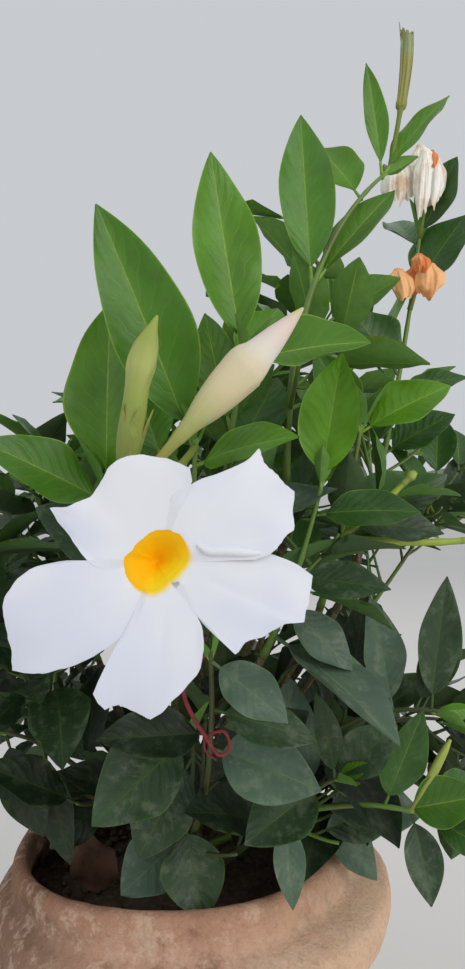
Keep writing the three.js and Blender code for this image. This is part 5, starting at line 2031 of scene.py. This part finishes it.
class MANDEVILLA_OT_leaves(bpy.types.Operator):
    """Grow the leaves by the source's rule and join them by tint"""

    bl_idname = "mandevilla.leaves"
    bl_label = "Leaves"

    def execute(self, context):
        for piece, nodes in build_leaves(context.scene.mandevilla_foliage, grown_masses()):
            settle(piece, "foliage", *nodes)
        return {"FINISHED"}


class MANDEVILLA_OT_bloom(bpy.types.Operator):
    """Build the open bloom with its tube and stalks"""

    bl_idname = "mandevilla.bloom"
    bl_label = "Open bloom"

    def execute(self, context):
        settings = context.scene.mandevilla_flowers
        settle(build_bloom(settings), "foliage", "mass_bloom")
        settle(build_bloom_back(settings), "foliage", "mass_bloom")
        return {"FINISHED"}


class MANDEVILLA_OT_buds(bpy.types.Operator):
    """Build the buds, the withered flowers, the old leaf and the tendril"""

    bl_idname = "mandevilla.buds"
    bl_label = "Buds and withered parts"

    def execute(self, context):
        settings = context.scene.mandevilla_flowers
        masses = grown_masses()
        for piece in build_front_buds(settings):
            settle(piece, "foliage", "mass_bloom")
        settle(build_small_buds(settings, masses), "foliage", "mass_low_right")
        settle(build_spent_bud(settings), "foliage", "mass_top")
        for piece in build_withered(settings, masses):
            settle(piece, "foliage", "mass_far_right")
        settle(build_old_leaf(settings), "foliage", "mass_front_low")
        settle(build_tendril(settings), "foliage", "mass_front")
        return {"FINISHED"}


class MANDEVILLA_OT_stage(bpy.types.Operator):
    """Set the pale floor, the soft lights and the camera"""

    bl_idname = "mandevilla.stage"
    bl_label = "Stage"

    def execute(self, context):
        settings = context.scene.mandevilla_stage
        build_backdrop(settings)
        build_lights(settings)
        build_camera()
        return {"FINISHED"}


def build_backdrop(settings):
    """A pale floor that reaches far past the picture, so that it meets the even light softly."""
    radii = np.array([1, 300, 900, 3000, 10000, 34000])[:, None]
    sheaf = Sheaf()
    sides = 96
    sheaf.add(level_rings(radii, even_turns(sides), 0 * radii), grid_faces(len(radii), sides, wrap=True))
    floor = Finish("backdrop", 0.9)
    grain = floor.noise(floor.position(), 3, 2, 0.5)
    pale = settings.backdrop[:]
    floor.set("Base Color", floor.ramp(grain, (0.3, shade(pale, 0.97)), (0.7, pale)))
    return sheaf.piece("backdrop", floor.material)


# Middle of the plant in metres, the lights' width, and the place and colour of each light and of the sky
PLANT_MIDDLE = Vector((0.02, -0.05, 0.35))
LIGHT_WIDTH = 1.4
KEY_LIGHT = ((1.2, -1.3, 1.2), (1.0, 0.98, 0.94))
FILL_LIGHT = ((-1.6, -0.9, 1.3), (0.93, 0.97, 1.0))
BACK_LIGHT = ((0.3, 1.6, 1.6), (0.97, 0.99, 1.0))
SKY_COLOUR = (0.93, 0.96, 1.0, 1)


def soft_light(name, place, colour, power):
    """A square area light that looks at the plant's middle."""
    data = bpy.data.lights.new(name, "AREA")
    data.size = LIGHT_WIDTH
    data.energy = power
    data.color = colour
    light = new_object(name, data)
    light.location = place
    light.rotation_euler = (PLANT_MIDDLE - Vector(place)).to_track_quat("-Z", "Y").to_euler()


def build_lights(settings):
    soft_light("key_light", *KEY_LIGHT, settings.key_power)
    soft_light("fill_light", *FILL_LIGHT, settings.fill_power)
    soft_light("back_light", *BACK_LIGHT, settings.fill_power)
    world = bpy.context.scene.world or bpy.data.worlds.new("sky")
    bpy.context.scene.world = world
    world.use_nodes = True
    background = world.node_tree.nodes["Background"]
    background.inputs["Color"].default_value = SKY_COLOUR
    background.inputs["Strength"].default_value = settings.sky_strength
    bpy.context.scene.view_settings.view_transform = "Standard"


def build_camera():
    """The photograph's camera: level and close to the plant, its lens worked out from the focal pixels."""
    data = bpy.data.cameras.new("camera")
    data.sensor_width = SENSOR_WIDTH
    data.lens = SENSOR_WIDTH * FOCAL_PIXELS / max(PHOTO_WIDTH, PHOTO_HEIGHT)
    data.clip_start = 0.01
    camera = new_object("camera", data)
    camera.location = Vector(CAMERA_PLACE) * MM
    camera.rotation_euler = (math.pi / 2, 0, 0)
    bpy.context.scene.camera = camera


OPERATORS = (
    MANDEVILLA_OT_pot,
    MANDEVILLA_OT_wood,
    MANDEVILLA_OT_leaves,
    MANDEVILLA_OT_bloom,
    MANDEVILLA_OT_buds,
    MANDEVILLA_OT_stage,
)


class MANDEVILLA_PT_panel(bpy.types.Panel):
    """The steps that build the plant, in order"""

    bl_idname = "MANDEVILLA_PT_panel"
    bl_label = "Potted Mandevilla"
    bl_space_type = "VIEW_3D"
    bl_region_type = "UI"
    bl_category = "Mandevilla"

    def draw(self, context):
        for operator in OPERATORS:
            self.layout.operator(operator.bl_idname, text=operator.bl_label)


SETTINGS = {
    "mandevilla_pot": PotSettings,
    "mandevilla_wood": WoodSettings,
    "mandevilla_foliage": FoliageSettings,
    "mandevilla_flowers": FlowerSettings,
    "mandevilla_stage": StageSettings,
}


def register():
    for name, group in SETTINGS.items():
        bpy.utils.register_class(group)
        setattr(bpy.types.Scene, name, PointerProperty(type=group))
    for each in (*OPERATORS, MANDEVILLA_PT_panel):
        bpy.utils.register_class(each)


def unregister():
    for each in reversed((*OPERATORS, MANDEVILLA_PT_panel)):
        bpy.utils.unregister_class(each)
    for name, group in reversed(SETTINGS.items()):
        delattr(bpy.types.Scene, name)
        bpy.utils.unregister_class(group)


def main():
    """Builds everything."""
    register()
    bpy.ops.mandevilla.pot()
    bpy.ops.mandevilla.wood()
    bpy.ops.mandevilla.leaves()
    bpy.ops.mandevilla.bloom()
    bpy.ops.mandevilla.buds()
    bpy.ops.mandevilla.stage()


if __name__ == "__main__":
    main()
